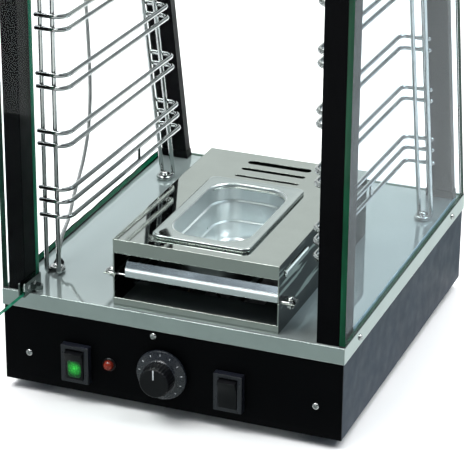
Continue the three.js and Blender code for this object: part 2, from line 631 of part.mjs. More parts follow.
function humidifierBox() {
  const [x0, x1] = BOX_X;
  const [y0, y1] = BOX_Y;
  const body = box(x0, x1, y0, y1, BOX_LOW, BOX_TOP);
  const room = box(x0 + SHEET, x1 - SHEET, y0 + SHEET, y1 - SHEET, 0, BOX_TOP - SHEET);
  const mouth = box(x0 + SHEET, x1 - SHEET, y0 - 1, y0 + 5, BOX_LOW + BOX_LOW_LIP, BOX_TOP - BOX_FRONT_LIP);
  const panHole = slab(roundedOutline(90, 138, 30, PAN_X, PAN_OPENING_Y), 40).translate(0, 0, BOX_TOP - 20);
  const steam = STEAM_SLOTS.map(([y, width]) => (
    slab(slot(73.5, width), 20, 3).translate(26.5, y, BOX_TOP - 10)
  ));
  const notches = BOX_X.map((x) => box(x - 3, x + 3, y0 - 1, EAR_Y + 9, EAR_Z - FIT, EAR_Z + EAR_T + FIT));
  const shell = cut(body, room, mouth, panHole, ...steam, ...notches);
  const ribs = BOX_X.map((x, i) => (
    slab(slot(RIB_W, RIB_L), SHEET + RIB_T, 3).rotateY(Math.PI / 2)
      .translate(i === 0 ? x - RIB_T : x - SHEET, RIB_Y, RIB_Z)
  ));
  const lugs = BOX_X.map((x, i) => {
    const [a, b] = i === 0 ? [x - 12.5, x + SHEET] : [x - SHEET, x + 15.5];
    return box(a, b, EAR_Y - 7, EAR_Y + 7, EAR_Z - FIT - SHEET, EAR_Z - FIT);
  });
  const bolts = Object.values(EAR_SCREWS).map((x) => rod(2.3, 130, 150).translate(x, EAR_Y, 0));
  return cut(join(shell, ...lugs, ...ribs), ...bolts);
}
add('humidifier_box', humidifierBox(), STEEL);

// Folded strap across the box's mouth; its flat ears pass through the walls and are screwed to lugs.
function humidifierHandle() {
  const front = BOX_Y[0];
  const fold = [[front + 8.6, 155], [front, 149.5], [front, EAR_Z], [front + 10, EAR_Z],
    [front + 10, EAR_Z + EAR_T], [front + 1.5, EAR_Z + EAR_T], [front + 1.5, 148.6], [front + 9.4, 153.6]];
  const strap = sideSlab(fold, -51, BOX_X[1] - SHEET - FIT);
  const [x0, x1] = [-76, 132.6];
  const ears = slab(roundedOutline(x1 - x0, 14, 6.9, (x0 + x1) / 2, EAR_Y), EAR_T).translate(0, 0, EAR_Z);
  const bolts = Object.values(EAR_SCREWS).map((x) => rod(2.3, 130, 150).translate(x, EAR_Y, 0));
  return cut(join(strap, ears), ...bolts);
}
add('humidifier_handle', humidifierHandle(), CHROME);

const earTop = EAR_Z + EAR_T + FIT;
for (const [side, x] of Object.entries(EAR_SCREWS)) {
  const screw = turned([[0, 131], [2, 131], [2, earTop], [5, earTop], [5, earTop + 0.8], [3.8, earTop + 0.8],
    [3.2, earTop + 2.2], [1.6, earTop + 2.9], [0, earTop + 3]], 12);
  add(`handle_screw_${side}`, screw.translate(x, EAR_Y, 0), CHROME);
}

// Pan: rolled rim on the box, then walls that step in twice on the way down.
function waterPan() {
  const rimTop = BOX_TOP + FIT + 3.5;
  const layer = (width, length, radius, low, high) => (
    slab(roundedOutline(width, length, radius, PAN_X, PAN_OPENING_Y), high - low, 4).translate(0, 0, low)
  );
  const flange = (inset, low, high) => (
    slab(roundedOutline(PAN_W - 2 * inset, PAN_L - 2 * inset, 9 - inset, PAN_X, PAN_Y), high - low, 4)
      .translate(0, 0, low)
  );
  const rim = flange(0, BOX_TOP + FIT, rimTop);
  const underRim = flange(1.5, BOX_TOP - 1, rimTop - 1);
  const steps = [[87, 135, 29, -20, -1], [83, 131, 27, -44, -20], [79, 127, 25, -PAN_DEPTH, -44]];
  const walls = steps.map(([w, l, r, low, high]) => layer(w, l, r, rimTop + low, rimTop + high));
  const rooms = steps.map(([w, l, r, low, high]) => (
    layer(w - 2, l - 2, r - 1, rimTop + low + 1, rimTop + high + 1.5)
  ));
  return cut(join(cut(rim, underRim), ...walls), ...rooms);
}
add('water_pan', waterPan(), STEEL);

// ---------- roof ----------
const ROOF_T = 1.2;
const LAMP_Y = -58;
const LAMP_HALF = 115;
const LEAD_EXIT_X = -166;

function roofShell() {
  const low = GLASS_H;
  const high = GLASS_H + ROOF_H;
  const outline = (inset, top, bottom) => [
    [-HALF_D + inset, BASE_H + bottom], [rearAt(low) + 2 - inset, BASE_H + bottom],
    [rearAt(high) + 2 - inset, BASE_H + top], [-HALF_D + inset, BASE_H + top],
  ];
  const body = sideSlab(outline(0, high, low), -HALF_W, HALF_W);
  const room = sideSlab(outline(ROOF_T, high - ROOF_T, low - 1), -HALF_W + ROOF_T, HALF_W - ROOF_T);
  const vents = [0, 1, 2, 3, 4].map((i) => (
    slab(slot(60, 4), 10, 2).translate(0, -60 + 14 * i, BASE_H + high - 5)
  ));
  return cut(body, room, ...vents);
}
add('roof_shell', roofShell(), BLACK);

const plateRear = rearAt(GLASS_H + SHEET) + 2 - ROOF_T - FIT;
const ceiling = box(-HALF_W + ROOF_T + FIT, HALF_W - ROOF_T - FIT, -HALF_D + ROOF_T + FIT, plateRear,
  ROOF_Z, ROOF_Z + SHEET);
const roofHoles = [
  rod(PIN_R + FIT, 500, 560).translate(DOOR_PIVOT_X, DOOR_PIVOT_Y, 0),
  rod(3.4, 500, 560).translate(LEAD_EXIT_X, LAMP_Y, 0),
  rod(3.4, 500, 560).translate(-LAMP_HALF + 10, LAMP_Y, 0),
];
add('roof_base_plate', cut(ceiling, ...roofHoles), STEEL);

// Reflector under the ceiling with an end cheek at each end; the cover glass rests on its lips.
const TROUGH_Z = ROOF_Z - 26;
function lampHolder() {
  const body = box(-LAMP_HALF, LAMP_HALF, LAMP_Y - 25, LAMP_Y + 25, TROUGH_Z, ROOF_Z - FIT);
  const room = box(-LAMP_HALF + 3, LAMP_HALF - 3, LAMP_Y - 23.8, LAMP_Y + 23.8, TROUGH_Z + 1.2, ROOF_Z - 2);
  const mouth = box(-LAMP_HALF + 3, LAMP_HALF - 3, LAMP_Y - 20, LAMP_Y + 20, TROUGH_Z - 1, TROUGH_Z + 5);
  const entry = rod(3.4, 520, 560).translate(-LAMP_HALF + 10, LAMP_Y, 0);
  return cut(body, room, mouth, entry);
}
add('lamp_holder', lampHolder(), STEEL);
add('lamp_glass_cover', box(-LAMP_HALF + 3 + FIT, LAMP_HALF - 3 - FIT, LAMP_Y - 23.4, LAMP_Y + 23.4,
  TROUGH_Z + 1.5, TROUGH_Z + 4.5), GLASS);
const tube = turned([[0, -98], [4, -98], [5.5, -90], [5.5, 90], [4, 98], [0, 98]], 16).rotateY(Math.PI / 2);
add('lamp_tube', tube.translate(3, LAMP_Y, ROOF_Z - 12), [0xf4f1e6, 0.3, 0]);

// Lead from the base through the deck, up beside the left rack, and into the roof to the lamp.
const LEAD_R = 2.2;
const LEAD_ROUTE = [
  [GLAND_X, GLAND_Y, 72], [GLAND_X, GLAND_Y, 90], [GLAND_X, GLAND_Y, 112], [-160.3, -134.5, 124],
  [-161.2, -125, 134], [-163, -104, 146], [-165, -83.7, 168], [-166, -62.1, 190], [-166, -46, 220],
  [-166, -39, 250], [-166, -37.5, 290], [-166, -42, 350], [-166, -52, 430], [LEAD_EXIT_X, LAMP_Y, 500],
  [LEAD_EXIT_X, LAMP_Y, 538], [-159, LAMP_Y, 550], [-130, LAMP_Y, 552], [-107, LAMP_Y, 546],
  [-LAMP_HALF + 10, LAMP_Y, 532],
];
function lampLead() {
  const points = LEAD_ROUTE.map((point) => new THREE.Vector3(...point));
  return wire(new THREE.CatmullRomCurve3(points, false, 'centripetal').getSpacedPoints(44), LEAD_R, 8);
}
add('lamp_lead', lampLead(), [0x8d918f, 0.5, 0.6]);
const gland = turned([
  [2.9, -8], [4.2, -8], [4.2, FIT], [5.6, FIT], [5.6, 3.4], [4.6, 5.4], [2.9, 6], [2.9, -8],
], 16);
add('lead_gland', gland.translate(GLAND_X, GLAND_Y, BASE_H), PLASTIC);

add('door_magnet', box(126, 150, -208.2, -196.2, ROOF_Z - 15, ROOF_Z - FIT), PLASTIC);

export default part;
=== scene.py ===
"""Looks of the hot food display case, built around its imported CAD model.

Metres, +Z up, service side at -Y.
"""

import math

import bmesh
import bpy
from mathutils import Matrix, Vector


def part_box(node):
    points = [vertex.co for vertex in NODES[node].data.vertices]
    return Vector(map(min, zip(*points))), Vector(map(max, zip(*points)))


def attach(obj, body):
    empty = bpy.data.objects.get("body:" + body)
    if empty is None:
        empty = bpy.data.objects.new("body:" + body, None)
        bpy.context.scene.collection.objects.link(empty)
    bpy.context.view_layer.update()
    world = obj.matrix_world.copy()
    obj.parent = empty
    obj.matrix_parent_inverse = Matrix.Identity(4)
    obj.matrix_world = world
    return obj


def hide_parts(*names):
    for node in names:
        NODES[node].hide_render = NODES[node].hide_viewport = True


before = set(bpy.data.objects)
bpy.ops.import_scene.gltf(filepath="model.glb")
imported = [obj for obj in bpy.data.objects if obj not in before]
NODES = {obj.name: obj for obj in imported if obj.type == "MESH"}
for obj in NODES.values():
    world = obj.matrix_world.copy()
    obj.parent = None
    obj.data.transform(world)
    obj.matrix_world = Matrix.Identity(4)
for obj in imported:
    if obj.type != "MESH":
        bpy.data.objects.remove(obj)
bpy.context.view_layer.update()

MM = 0.001
LEAN = 0.23  # customer side leans in by this much for each unit of height
SEGMENTS = 24
LENS_REACH = 9 * MM  # how far a lens still glows from the lamp behind it

DECK_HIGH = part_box("deck_tray")[1]
DECK_Z = DECK_HIGH.z
PANEL_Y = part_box("control_panel")[0].y
FLOOR_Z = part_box("foot_front_left")[0].z


def middle(node):
    low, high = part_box(node)
    return (low + high) / 2


def in_mm(pairs):
    return [(a * MM, b * MM) for a, b in pairs]


def rotation(degrees, axis):
    return Matrix.Rotation(math.radians(degrees), 4, axis)


# ---------- materials ----------
class Material:
    """A Principled material that is built up one layer at a time."""

    def __init__(self, name, color, roughness, metallic=0.0, **sockets):
        self.material = bpy.data.materials.new(name)
        self.material.use_nodes = True
        self.tree = self.material.node_tree
        self.shader = self.tree.nodes["Principled BSDF"]
        self.shader.inputs["Base Color"].default_value = (*color, 1)
        self.shader.inputs["Roughness"].default_value = roughness
        self.shader.inputs["Metallic"].default_value = metallic
        for socket, value in sockets.items():
            self.shader.inputs[socket.replace("_", " ")].default_value = value
        self.normal = None

    @classmethod
    def reopen(cls, material):
        """Goes on building a finished material."""
        made = cls.__new__(cls)
        made.material = material
        made.tree = material.node_tree
        made.shader = made.tree.nodes["Principled BSDF"]
        made.normal = None
        return made

    def node(self, kind, **values):
        made = self.tree.nodes.new(kind)
        for name, value in values.items():
            setattr(made, name, value)
        return made

    def link(self, source, target):
        self.tree.links.new(source, target)

    def place(self, stretch=(1, 1, 1)):
        """Object coordinates, stretched."""
        where = self.node("ShaderNodeTexCoord")
        scale = self.node("ShaderNodeMapping")
        scale.inputs["Scale"].default_value = stretch
        self.link(where.outputs["Object"], scale.inputs["Vector"])
        return scale.outputs["Vector"]

    def coordinate(self, kind, axis):
        """One axis of the piece's own coordinates or normals."""
        where = self.node("ShaderNodeTexCoord")
        split = self.node("ShaderNodeSeparateXYZ")
        self.link(where.outputs[kind], split.inputs[0])
        return split.outputs[axis]

    def noise(self, scale, detail=3.0, stretch=(1, 1, 1)):
        made = self.node("ShaderNodeTexNoise")
        made.inputs["Scale"].default_value = scale
        made.inputs["Detail"].default_value = detail
        self.link(self.place(stretch), made.inputs["Vector"])
        return made.outputs["Fac"]

    def between(self, value, low, high, start=0.3, end=0.7):
        """Runs from low to high while the value runs from start to end."""
        made = self.node("ShaderNodeMapRange")
        made.inputs["From Min"].default_value = start
        made.inputs["From Max"].default_value = end
        made.inputs["To Min"].default_value = low
        made.inputs["To Max"].default_value = high
        self.link(value, made.inputs["Value"])
        return made.outputs["Result"]

    def combine(self, operation, *values):
        made = self.node("ShaderNodeMath", operation=operation)
        for value, socket in zip(values, made.inputs):
            self.link(value, socket)
        return made.outputs[0]

    def blend(self, factor, first, second):
        """Mixes two tones; each of them is a color or a socket."""
        mix = self.node("ShaderNodeMix", data_type="RGBA")
        self.link(factor, mix.inputs["Factor"])
        for tone, socket in ((first, mix.inputs["A"]), (second, mix.inputs["B"])):
            if isinstance(tone, bpy.types.NodeSocket):
                self.link(tone, socket)
            else:
                socket.default_value = (*tone, 1)
        return mix.outputs["Result"]

    def blend_shaders(self, factor, first, second):
        mix = self.node("ShaderNodeMixShader")
        for value, socket in zip((factor, first, second), mix.inputs):
            self.link(value, socket)
        return mix.outputs[0]

    def vary_roughness(self, value, low, high):
        self.link(self.between(value, low, high), self.shader.inputs["Roughness"])
        return self

    def vary_color(self, value, first, second, start=0.3, end=0.7):
        tone = self.blend(self.between(value, 0, 1, start, end), first, second)
        self.link(tone, self.shader.inputs["Base Color"])
        return self

    def round_edges(self, radius):
        """Catches the light along sharp folds as a real small radius does."""
        made = self.node("ShaderNodeBevel", samples=4)
        made.inputs["Radius"].default_value = radius
        self.normal = made.outputs["Normal"]
        self.link(self.normal, self.shader.inputs["Normal"])
        return self

    def bump(self, height, distance, strength=1.0):
        made = self.node("ShaderNodeBump")
        made.inputs["Distance"].default_value = distance
        made.inputs["Strength"].default_value = strength
        self.link(height, made.inputs["Height"])
        if self.normal is not None:
            self.link(self.normal, made.inputs["Normal"])
        self.normal = made.outputs["Normal"]
        self.link(self.normal, self.shader.inputs["Normal"])
        return self


def painted_steel(name, color, roughness, specular=0.5):
    made = Material(name, color, roughness, Specular_IOR_Level=specular)
    made.vary_color(made.noise(14, 2), color, [c * 1.25 for c in color])
    made.vary_roughness(made.noise(60, 4), roughness - 0.06, roughness + 0.07)
    return made.round_edges(0.7 * MM).bump(made.noise(900, 2), 0.008 * MM, 0.3).material


def polished_steel(name, color, roughness, grain=(1, 1, 1), wave=0.15):
    made = Material(name, color, roughness, 1.0)
    made.vary_color(made.noise(30, 3), color, [c * 0.93 for c in color])
    made.vary_roughness(made.noise(900, 4, grain), roughness * 0.7, roughness * 1.5)
    made.round_edges(0.8 * MM)
    made.bump(made.noise(9, 1), wave * MM, 0.5)
    return made.bump(made.noise(1400, 3, grain), 0.006 * MM, 0.5).material


def satin_steel(name, color, roughness):
    """Evenly brushed sheet with only slow changes of tone."""
    made = Material(name, color, roughness, 1.0)
    made.vary_color(made.noise(18, 2), color, [c * 0.94 for c in color])
    made.vary_roughness(made.noise(26, 2), roughness - 0.03, roughness + 0.04)
    return made.material


def painted_wall_reflection(material):
    """Upright side walls of a polished box: a painted reflection, dark with bright streaks along
    the case's depth, for the racks mirrored in them.
    """
    made = Material.reopen(material)
    base = made.shader.inputs["Base Color"]
    plain = base.links[0].from_socket
    # Painted reflection: bright streaks on a dark tone, standing in for the racks mirrored in the
    # walls.
    streaks = made.between(made.noise(130, 4, (1, 0.07, 1)), 0, 1, 0.56, 0.6)
    walls = made.blend(streaks, (0.004, 0.005, 0.004), (0.62, 0.68, 0.62))
    sideways = made.combine("ABSOLUTE", made.coordinate("Normal", "X"))
    made.link(made.blend(made.between(sideways, 0, 1, 0.8, 0.9), plain, walls), base)
    return material


def hazy_top(material, color, metallic):
    """Level faces of a used worktop: fine scratches scatter part of the light."""
    made = Material.reopen(material)
    base = made.shader.inputs["Base Color"]
    plain = base.links[0].from_socket
    level = made.between(made.coordinate("Normal", "Z"), 0, 1, 0.8, 0.95)
    made.link(made.blend(level, plain, color), base)
    made.link(made.between(level, 1, metallic, 0, 1), made.shader.inputs["Metallic"])
    return material


def plated_metal(name, color, roughness):
    made = Material(name, color, roughness, 1.0)
    made.vary_color(made.noise(90, 3), color, [c * 0.86 for c in color])
    made.vary_roughness(made.noise(500, 4), roughness * 0.6, roughness * 1.8)
    return made.bump(made.noise(420, 2), 0.05 * MM, 0.35).material


def grained_plastic(name, color, roughness, grain=1800, depth=0.03, specular=0.5):
    made = Material(name, color, roughness, Specular_IOR_Level=specular)
    made.vary_color(made.noise(120, 3), color, [c * 1.4 for c in color])
    made.vary_roughness(made.noise(700, 3), roughness - 0.08, roughness + 0.08)
    return made.round_edges(0.4 * MM).bump(made.noise(grain, 2), depth * MM, 0.6).material


def lit_lens(name, color, glow, strength, lamp):
    """Translucent lens, bright in front of its lamp; the facets break the glow into beads."""
    made = Material(name, color, 0.18, Emission_Strength=strength)
    where = made.node("ShaderNodeTexCoord")
    away = made.node("ShaderNodeVectorMath", operation="DISTANCE")
    away.inputs[1].default_value = lamp
    made.link(where.outputs["Object"], away.inputs[0])
    near = made.between(away.outputs["Value"], 1, 0, 0, LENS_REACH)
    cells = made.node("ShaderNodeTexVoronoi")
    cells.inputs["Scale"].default_value = 520
    made.link(made.place(), cells.inputs["Vector"])
    bead_light = made.between(cells.outputs["Distance"], 1.0, 0.35, 0.1, 0.5)
    tone = made.blend(made.combine("MULTIPLY", near, bead_light), color, glow)
    made.link(tone, made.shader.inputs["Emission Color"])
    made.link(tone, made.shader.inputs["Base Color"])
    return made.round_edges(0.4 * MM).bump(cells.outputs["Distance"], 0.2 * MM, 0.5).material


def float_glass(name, facing, ior=1.07, tint=(0.955, 0.985, 0.975), edge=(0.001, 0.026, 0.011)):
    """Clear pane whose cut edges show deep green. facing is the pane's own normal."""
    made = Material(name, tint, 0.0, Transmission_Weight=1.0, IOR=ior)
    made.vary_color(made.noise(6, 2), tint, [c * 0.985 for c in tint])
    clear = made.node("ShaderNodeBsdfTransparent")
    clear.inputs["Color"].default_value = (*tint, 1)
    rays = made.node("ShaderNodeLightPath").outputs
    soft = made.combine("MAXIMUM", rays["Is Shadow Ray"], rays["Is Diffuse Ray"])
    pane = made.blend_shaders(soft, made.shader.outputs[0], clear.outputs[0])

    cut = made.node("ShaderNodeBsdfPrincipled")
    cut.inputs["Roughness"].default_value = 0.12
    cut.inputs["Specular IOR Level"].default_value = 0.2
    streaks = made.between(made.noise(160, 4, (1, 1, 0.08)), 0, 1)
    tone = made.blend(streaks, edge, [c * 2.4 + 0.002 for c in edge])
    made.link(tone, cut.inputs["Base Color"])

    where = made.node("ShaderNodeTexCoord")
    dot = made.node("ShaderNodeVectorMath", operation="DOT_PRODUCT")
    dot.inputs[1].default_value = facing
    made.link(where.outputs["Normal"], dot.inputs[0])
    flat = made.combine("ABSOLUTE", dot.outputs["Value"])
    both = made.blend_shaders(made.between(flat, 1, 0, 0.55, 0.6), pane, cut.outputs[0])
    made.link(both, made.tree.nodes["Material Output"].inputs["Surface"])
    return made.material


def braided_sleeve(name):
    """Two sets of crossing strands wound round the sleeve."""
    made = Material(name, (0.34, 0.35, 0.34), 0.4, 0.85)
    weave = []
    for tilt in (0.7, -0.7):
        wave = made.node("ShaderNodeTexWave", wave_type="BANDS")
        wave.inputs["Scale"].default_value = 300
        spin = made.node("ShaderNodeMapping")
        spin.inputs["Rotation"].default_value = (tilt, tilt, 0)
        made.link(made.place(), spin.inputs["Vector"])
        made.link(spin.outputs["Vector"], wave.inputs["Vector"])
        weave.append(wave.outputs["Fac"])
    top = made.combine("MAXIMUM", *weave)
    made.vary_color(top, (0.06, 0.06, 0.055), (0.5, 0.51, 0.5), 0.35, 0.9)
    return made.bump(top, 0.5 * MM, 0.9).material


PAINT = painted_steel("black_paint", (0.0010, 0.0012, 0.0016), 0.4, 0.04)
# Painted reflection: the base's wrap is the panel's black paint made lighter and bluer, for the
# bright surroundings its sides reflect.
WRAP_PAINTED_REFLECTION = painted_steel("base_wrap_painted_reflection", (0.022, 0.033, 0.048), 0.5, 0.14)
DECK = polished_steel("deck_mirror", (0.60, 0.67, 0.645), 0.035)
DECK = hazy_top(DECK, (0.44, 0.50, 0.49), 0.63)
# The box's side walls carry a painted reflection of the racks.
BOX = painted_wall_reflection(polished_steel("box_mirror", (0.50, 0.535, 0.495), 0.025))
CEILING = polished_steel("ceiling_steel", (0.58, 0.60, 0.59), 0.2, (1, 0.1, 1))
PAN = satin_steel("pan_steel", (0.84, 0.89, 0.89), 0.3)
# The pan's outside is the same sheet as its inside, darkened as painted shade.
PAN_OUTSIDE_SHADE = satin_steel("pan_outside_painted_shade", (0.10, 0.11, 0.11), 0.4)
RIM = polished_steel("pan_rim_steel", (0.56, 0.61, 0.59), 0.06, (1, 1, 1), 0.03)
# The strap's one steel sheet comes as two copies: a brightened one, painted light, and a darkened
# one for its upper facet, painted shade.
STRAP_BRIGHTENED = polished_steel("strap_brightened_steel", (0.86, 0.91, 0.92), 0.08, (0.2, 1, 1), 0.03)
STRAP_TOP_SHADE = satin_steel("strap_top_painted_shade", (0.15, 0.18, 0.20), 0.16)
CHROME = plated_metal("chrome_wire", (0.46, 0.48, 0.47), 0.05)
BRIGHT = plated_metal("bright_plate", (0.66, 0.67, 0.66), 0.1)
CLAMP = plated_metal("clamp_steel", (0.20, 0.23, 0.22), 0.1)
ZINC = plated_metal("zinc_plate", (0.42, 0.43, 0.44), 0.42)
ELEMENT = plated_metal("element_sheath", (0.17, 0.15, 0.13), 0.5)
RUBBER = grained_plastic("black_rubber", (0.010, 0.010, 0.011), 0.8, 900, 0.08)
PLASTIC = grained_plastic("black_plastic", (0.0016, 0.0018, 0.0026), 0.36, 1500, 0.02, 0.25)
BEZEL = grained_plastic("switch_bezel", (0.004, 0.005, 0.009), 0.34, 800, 0.2, 0.7)
SPECKLED = grained_plastic("speckled_skirt", (0.006, 0.008, 0.012), 0.3, 700, 0.25, 0.8)
CREAM = grained_plastic("cream_moulding", (0.62, 0.58, 0.5), 0.5)
WHITE_MARK = grained_plastic("white_print", (0.42, 0.44, 0.46), 0.5)
HEAT_LAMP = middle("heat_switch_body")
HEAT_LAMP.y, HEAT_LAMP.z = PANEL_Y - 9 * MM, HEAT_LAMP.z - 3.5 * MM
PILOT_LAMP = middle("pilot_lamp")
PILOT_LAMP.y = PANEL_Y - 6 * MM
GREEN = lit_lens("green_lens", (0.0, 0.028, 0.004), (0.03, 0.66, 0.06), 0.85, HEAT_LAMP)
RED = lit_lens("red_lens", (0.04, 0.004, 0.002), (0.38, 0.032, 0.012), 0.3, PILOT_LAMP)
SEALANT = grained_plastic("dark_sealant", (0.002, 0.010, 0.006), 0.12, 400, 0.02, 0.5)
# Painted reflection: the side pane's green cut edge, laid as a green line along the left bead's
# lip.
GREEN_EDGE_REFLECTION = grained_plastic("green_edge_painted_reflection", (0.004, 0.085, 0.040), 0.12, 400, 0.02, 0.6)
PALE_SEALANT = grained_plastic("clear_sealant", (0.36, 0.45, 0.50), 0.15, 400, 0.02, 0.6)
LAMP = grained_plastic("lamp_envelope", (0.86, 0.84, 0.78), 0.25)
BRAID = braided_sleeve("braided_sleeve")
LEFT_PANE = float_glass(
    "left_pane", (1, 0, 0), tint=(0.94, 0.97, 0.98), edge=(0.001, 0.010, 0.006))
# Painted shade: the right pane is the left pane's glass tinted darker, to darken what is seen
# through it.
RIGHT_PANE_SHADED = float_glass("right_pane_painted_shade", (1, 0, 0), tint=(0.82, 0.89, 0.93))
SLOPE = math.hypot(1, LEAN)  # makes the leaning pane's normal one unit long
REAR_PANE = float_glass("customer_pane", (0, 1 / SLOPE, LEAN / SLOPE))
DOOR_PANE = float_glass("door_pane", (1, 0, 0), ior=1.05, edge=(0.006, 0.07, 0.04))
COVER_PANE = float_glass("lamp_cover_pane", (0, 0, 1))

CARRIED = {
    "base_shell": WRAP_PAINTED_REFLECTION, "control_panel": PAINT, "bottom_plate": ZINC, "deck_tray": DECK,
    "humidifier_box": BOX, "roof_shell": PAINT, "roof_base_plate": CEILING,
    "lamp_holder": CEILING, "lamp_tube": LAMP, "lamp_glass_cover": COVER_PANE,
    "jamb_left": PAINT, "jamb_right": PAINT, "post_left": PAINT, "post_right": PAINT,
    "glass_seal_left": RUBBER, "glass_seal_right": RUBBER, "side_glass_left": LEFT_PANE,
    "side_glass_right": RIGHT_PANE_SHADED, "customer_glass": REAR_PANE, "door_glass": DOOR_PANE,
    "door_magnet": PLASTIC, "door_striker": CLAMP,
    "pivot_pin_lower": BRIGHT, "pivot_pin_upper": BRIGHT,
    "heat_switch_body": BEZEL, "light_switch_body": BEZEL, "power_inlet": PLASTIC,
    "thermostat": ZINC, "heater_bracket": ZINC, "heating_element": ELEMENT,
    "terminal_block": CREAM, "foot_front_left": RUBBER, "foot_front_right": RUBBER,
    "foot_rear_left": RUBBER, "foot_rear_right": RUBBER,
}
for node, material in CARRIED.items():
    NODES[node].data.materials.clear()
    NODES[node].data.materials.append(material)


# ---------- mesh helpers ----------
def finish(name, bm, materials, body, *replaced, sharp=40):
    """Turns the bmesh into a piece that rides on a body and stands for the replaced nodes."""
    bmesh.ops.recalc_face_normals(bm, faces=bm.faces)
    mesh = bpy.data.meshes.new(name)
    bm.to_mesh(mesh)
    bm.free()
    for material in materials:
        mesh.materials.append(material)
    mesh.polygons.foreach_set("use_smooth", [True] * len(mesh.polygons))
    mesh.set_sharp_from_angle(angle=math.radians(sharp))
    obj = bpy.data.objects.new(name, mesh)
    bpy.context.scene.collection.objects.link(obj)
    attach(obj, body)
    if replaced:
        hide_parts(*replaced)
    return obj


def bridge(bm, rings, closed_ends=True, material=0):
    """Skins a row of rings that all have the same number of points."""
    made = [[bm.verts.new(point) for point in ring] for ring in rings]
    count = len(made[0])
    faces = []
    for first, second in zip(made, made[1:]):
        for i in range(count):
            j = (i + 1) % count
            faces.append(bm.faces.new((first[i], first[j], second[j], second[i])))
    if closed_ends:
        faces.append(bm.faces.new(reversed(made[0])))
        faces.append(bm.faces.new(made[-1]))
    for face in faces:
        face.material_index = material
    return faces


def turn(bm, profile, matrix, segments=SEGMENTS, material=0, lobes=None, loop=False):
    """Turned shape from [radius, height] pairs.

    Both ends are closed, unless the profile is a loop that ends where it starts.
    lobes(angle, radius) scales the radius.
    """
    rings = []
    for radius, height in profile:
        ring = []
        for i in range(segments):
            angle = 2 * math.pi * i / segments
            reach = max(radius, 1e-5) * (lobes(angle, radius) if lobes else 1)
            point = Vector((reach * math.cos(angle), reach * math.sin(angle), height))
            ring.append(matrix @ point)
        rings.append(ring)
    bridge(bm, rings, not loop, material)
    if loop:
        bmesh.ops.remove_doubles(bm, verts=bm.verts, dist=1e-6)


def block(bm, low, high, bevel, matrix, material=0):
    """Box with rounded edges."""
    part = bmesh.new()
    bmesh.ops.create_cube(part, size=1)
    low, high = Vector(low), Vector(high)
    size = high - low
    bmesh.ops.scale(part, vec=size, verts=part.verts)
    bmesh.ops.translate(part, vec=(low + high) / 2, verts=part.verts)
    bmesh.ops.bevel(part, geom=part.edges, offset=min(bevel, min(size) * 0.45), segments=2,
                    profile=0.6, affect="EDGES")
    add_mesh(bm, part, matrix, material)


def add_mesh(bm, part, matrix, material=0):
    """Moves one bmesh into another."""
    copies = {v: bm.verts.new(matrix @ v.co) for v in part.verts}
    for face in part.faces:
        made = bm.faces.new([copies[v] for v in face.verts])
        made.material_index = material
    part.free()


def bent_path(corners, radius, steps=6):
    """Straight runs with rounded corners; a corner's fourth number is its own radius."""
    points = [Vector(corner[:3]) for corner in corners]
    path = [points[0]]
    for i in range(1, len(points) - 1):
        bend = corners[i][3] if len(corners[i]) > 3 else radius
        arriving = (points[i] - points[i - 1]).normalized()
        leaving = (points[i + 1] - points[i]).normalized()
        half = arriving.angle(leaving) / 2
        start = points[i] - arriving * bend * math.tan(half)
        centre = points[i] + (leaving - arriving).normalized() * bend / math.cos(half)
        axis = arriving.cross(leaving).normalized()
        for k in range(steps + 1):
            spin = Matrix.Rotation(2 * half * k / steps, 3, axis)
            path.append(centre + spin @ (start - centre))
    path.append(points[-1])
    return path


def tube(bm, path, radius, sides=14, round_ends=True, material=0):
    """Round wire along a path, its ends domed."""
    tangents = []
    for i, point in enumerate(path):
        ahead = path[min(i + 1, len(path) - 1)]
        behind = path[max(i - 1, 0)]
        arriving = (point - behind).normalized() if i else Vector()
        leaving = (ahead - point).normalized() if i < len(path) - 1 else Vector()
        tangents.append((arriving + leaving).normalized())
    stations = [(point, tangent, 1.0) for point, tangent in zip(path, tangents)]
    if round_ends:
        dome = [0.0, 0.35, 0.65, 0.88]
        shrink = [(1 - h, math.sqrt(max(0.02, 1 - (1 - h) ** 2))) for h in dome]
        first, last = tangents[0], tangents[-1]
        stations = (
            [(path[0] + first * radius * (1 - k), first, s) for k, s in shrink]
            + stations[1:-1]
            + [(path[-1] - last * radius * (1 - k), last, s) for k, s in reversed(shrink)]
        )
    across = tangents[0].orthogonal().normalized()
    previous = stations[0][1]
    rings = []
    for point, tangent, scale in stations:
        across = previous.rotation_difference(tangent) @ across
        across = (across - tangent * across.dot(tangent)).normalized()
        previous = tangent
        side = tangent.cross(across)
        ring = []
        for i in range(sides):
            angle = 2 * math.pi * i / sides
            out = across * math.cos(angle) + side * math.sin(angle)
            ring.append(point + out * radius * scale)
        rings.append(ring)
    bridge(bm, rings, material=material)


def rounded_ring(width, length, radius, z, x=0.0, y=0.0, steps=8):
    """Points of a rounded rectangle, counter-clockwise."""
    ring = []
    for corner, (sx, sy) in enumerate([(1, -1), (1, 1), (-1, 1), (-1, -1)]):
        for k in range(steps + 1):
            angle = math.radians(-90 + 90 * corner + 90 * k / steps)
            ring.append(Vector((
                x + sx * (width / 2 - radius) + radius * math.cos(angle),
                y + sy * (length / 2 - radius) + radius * math.sin(angle),
                z,
            )))
    return ring


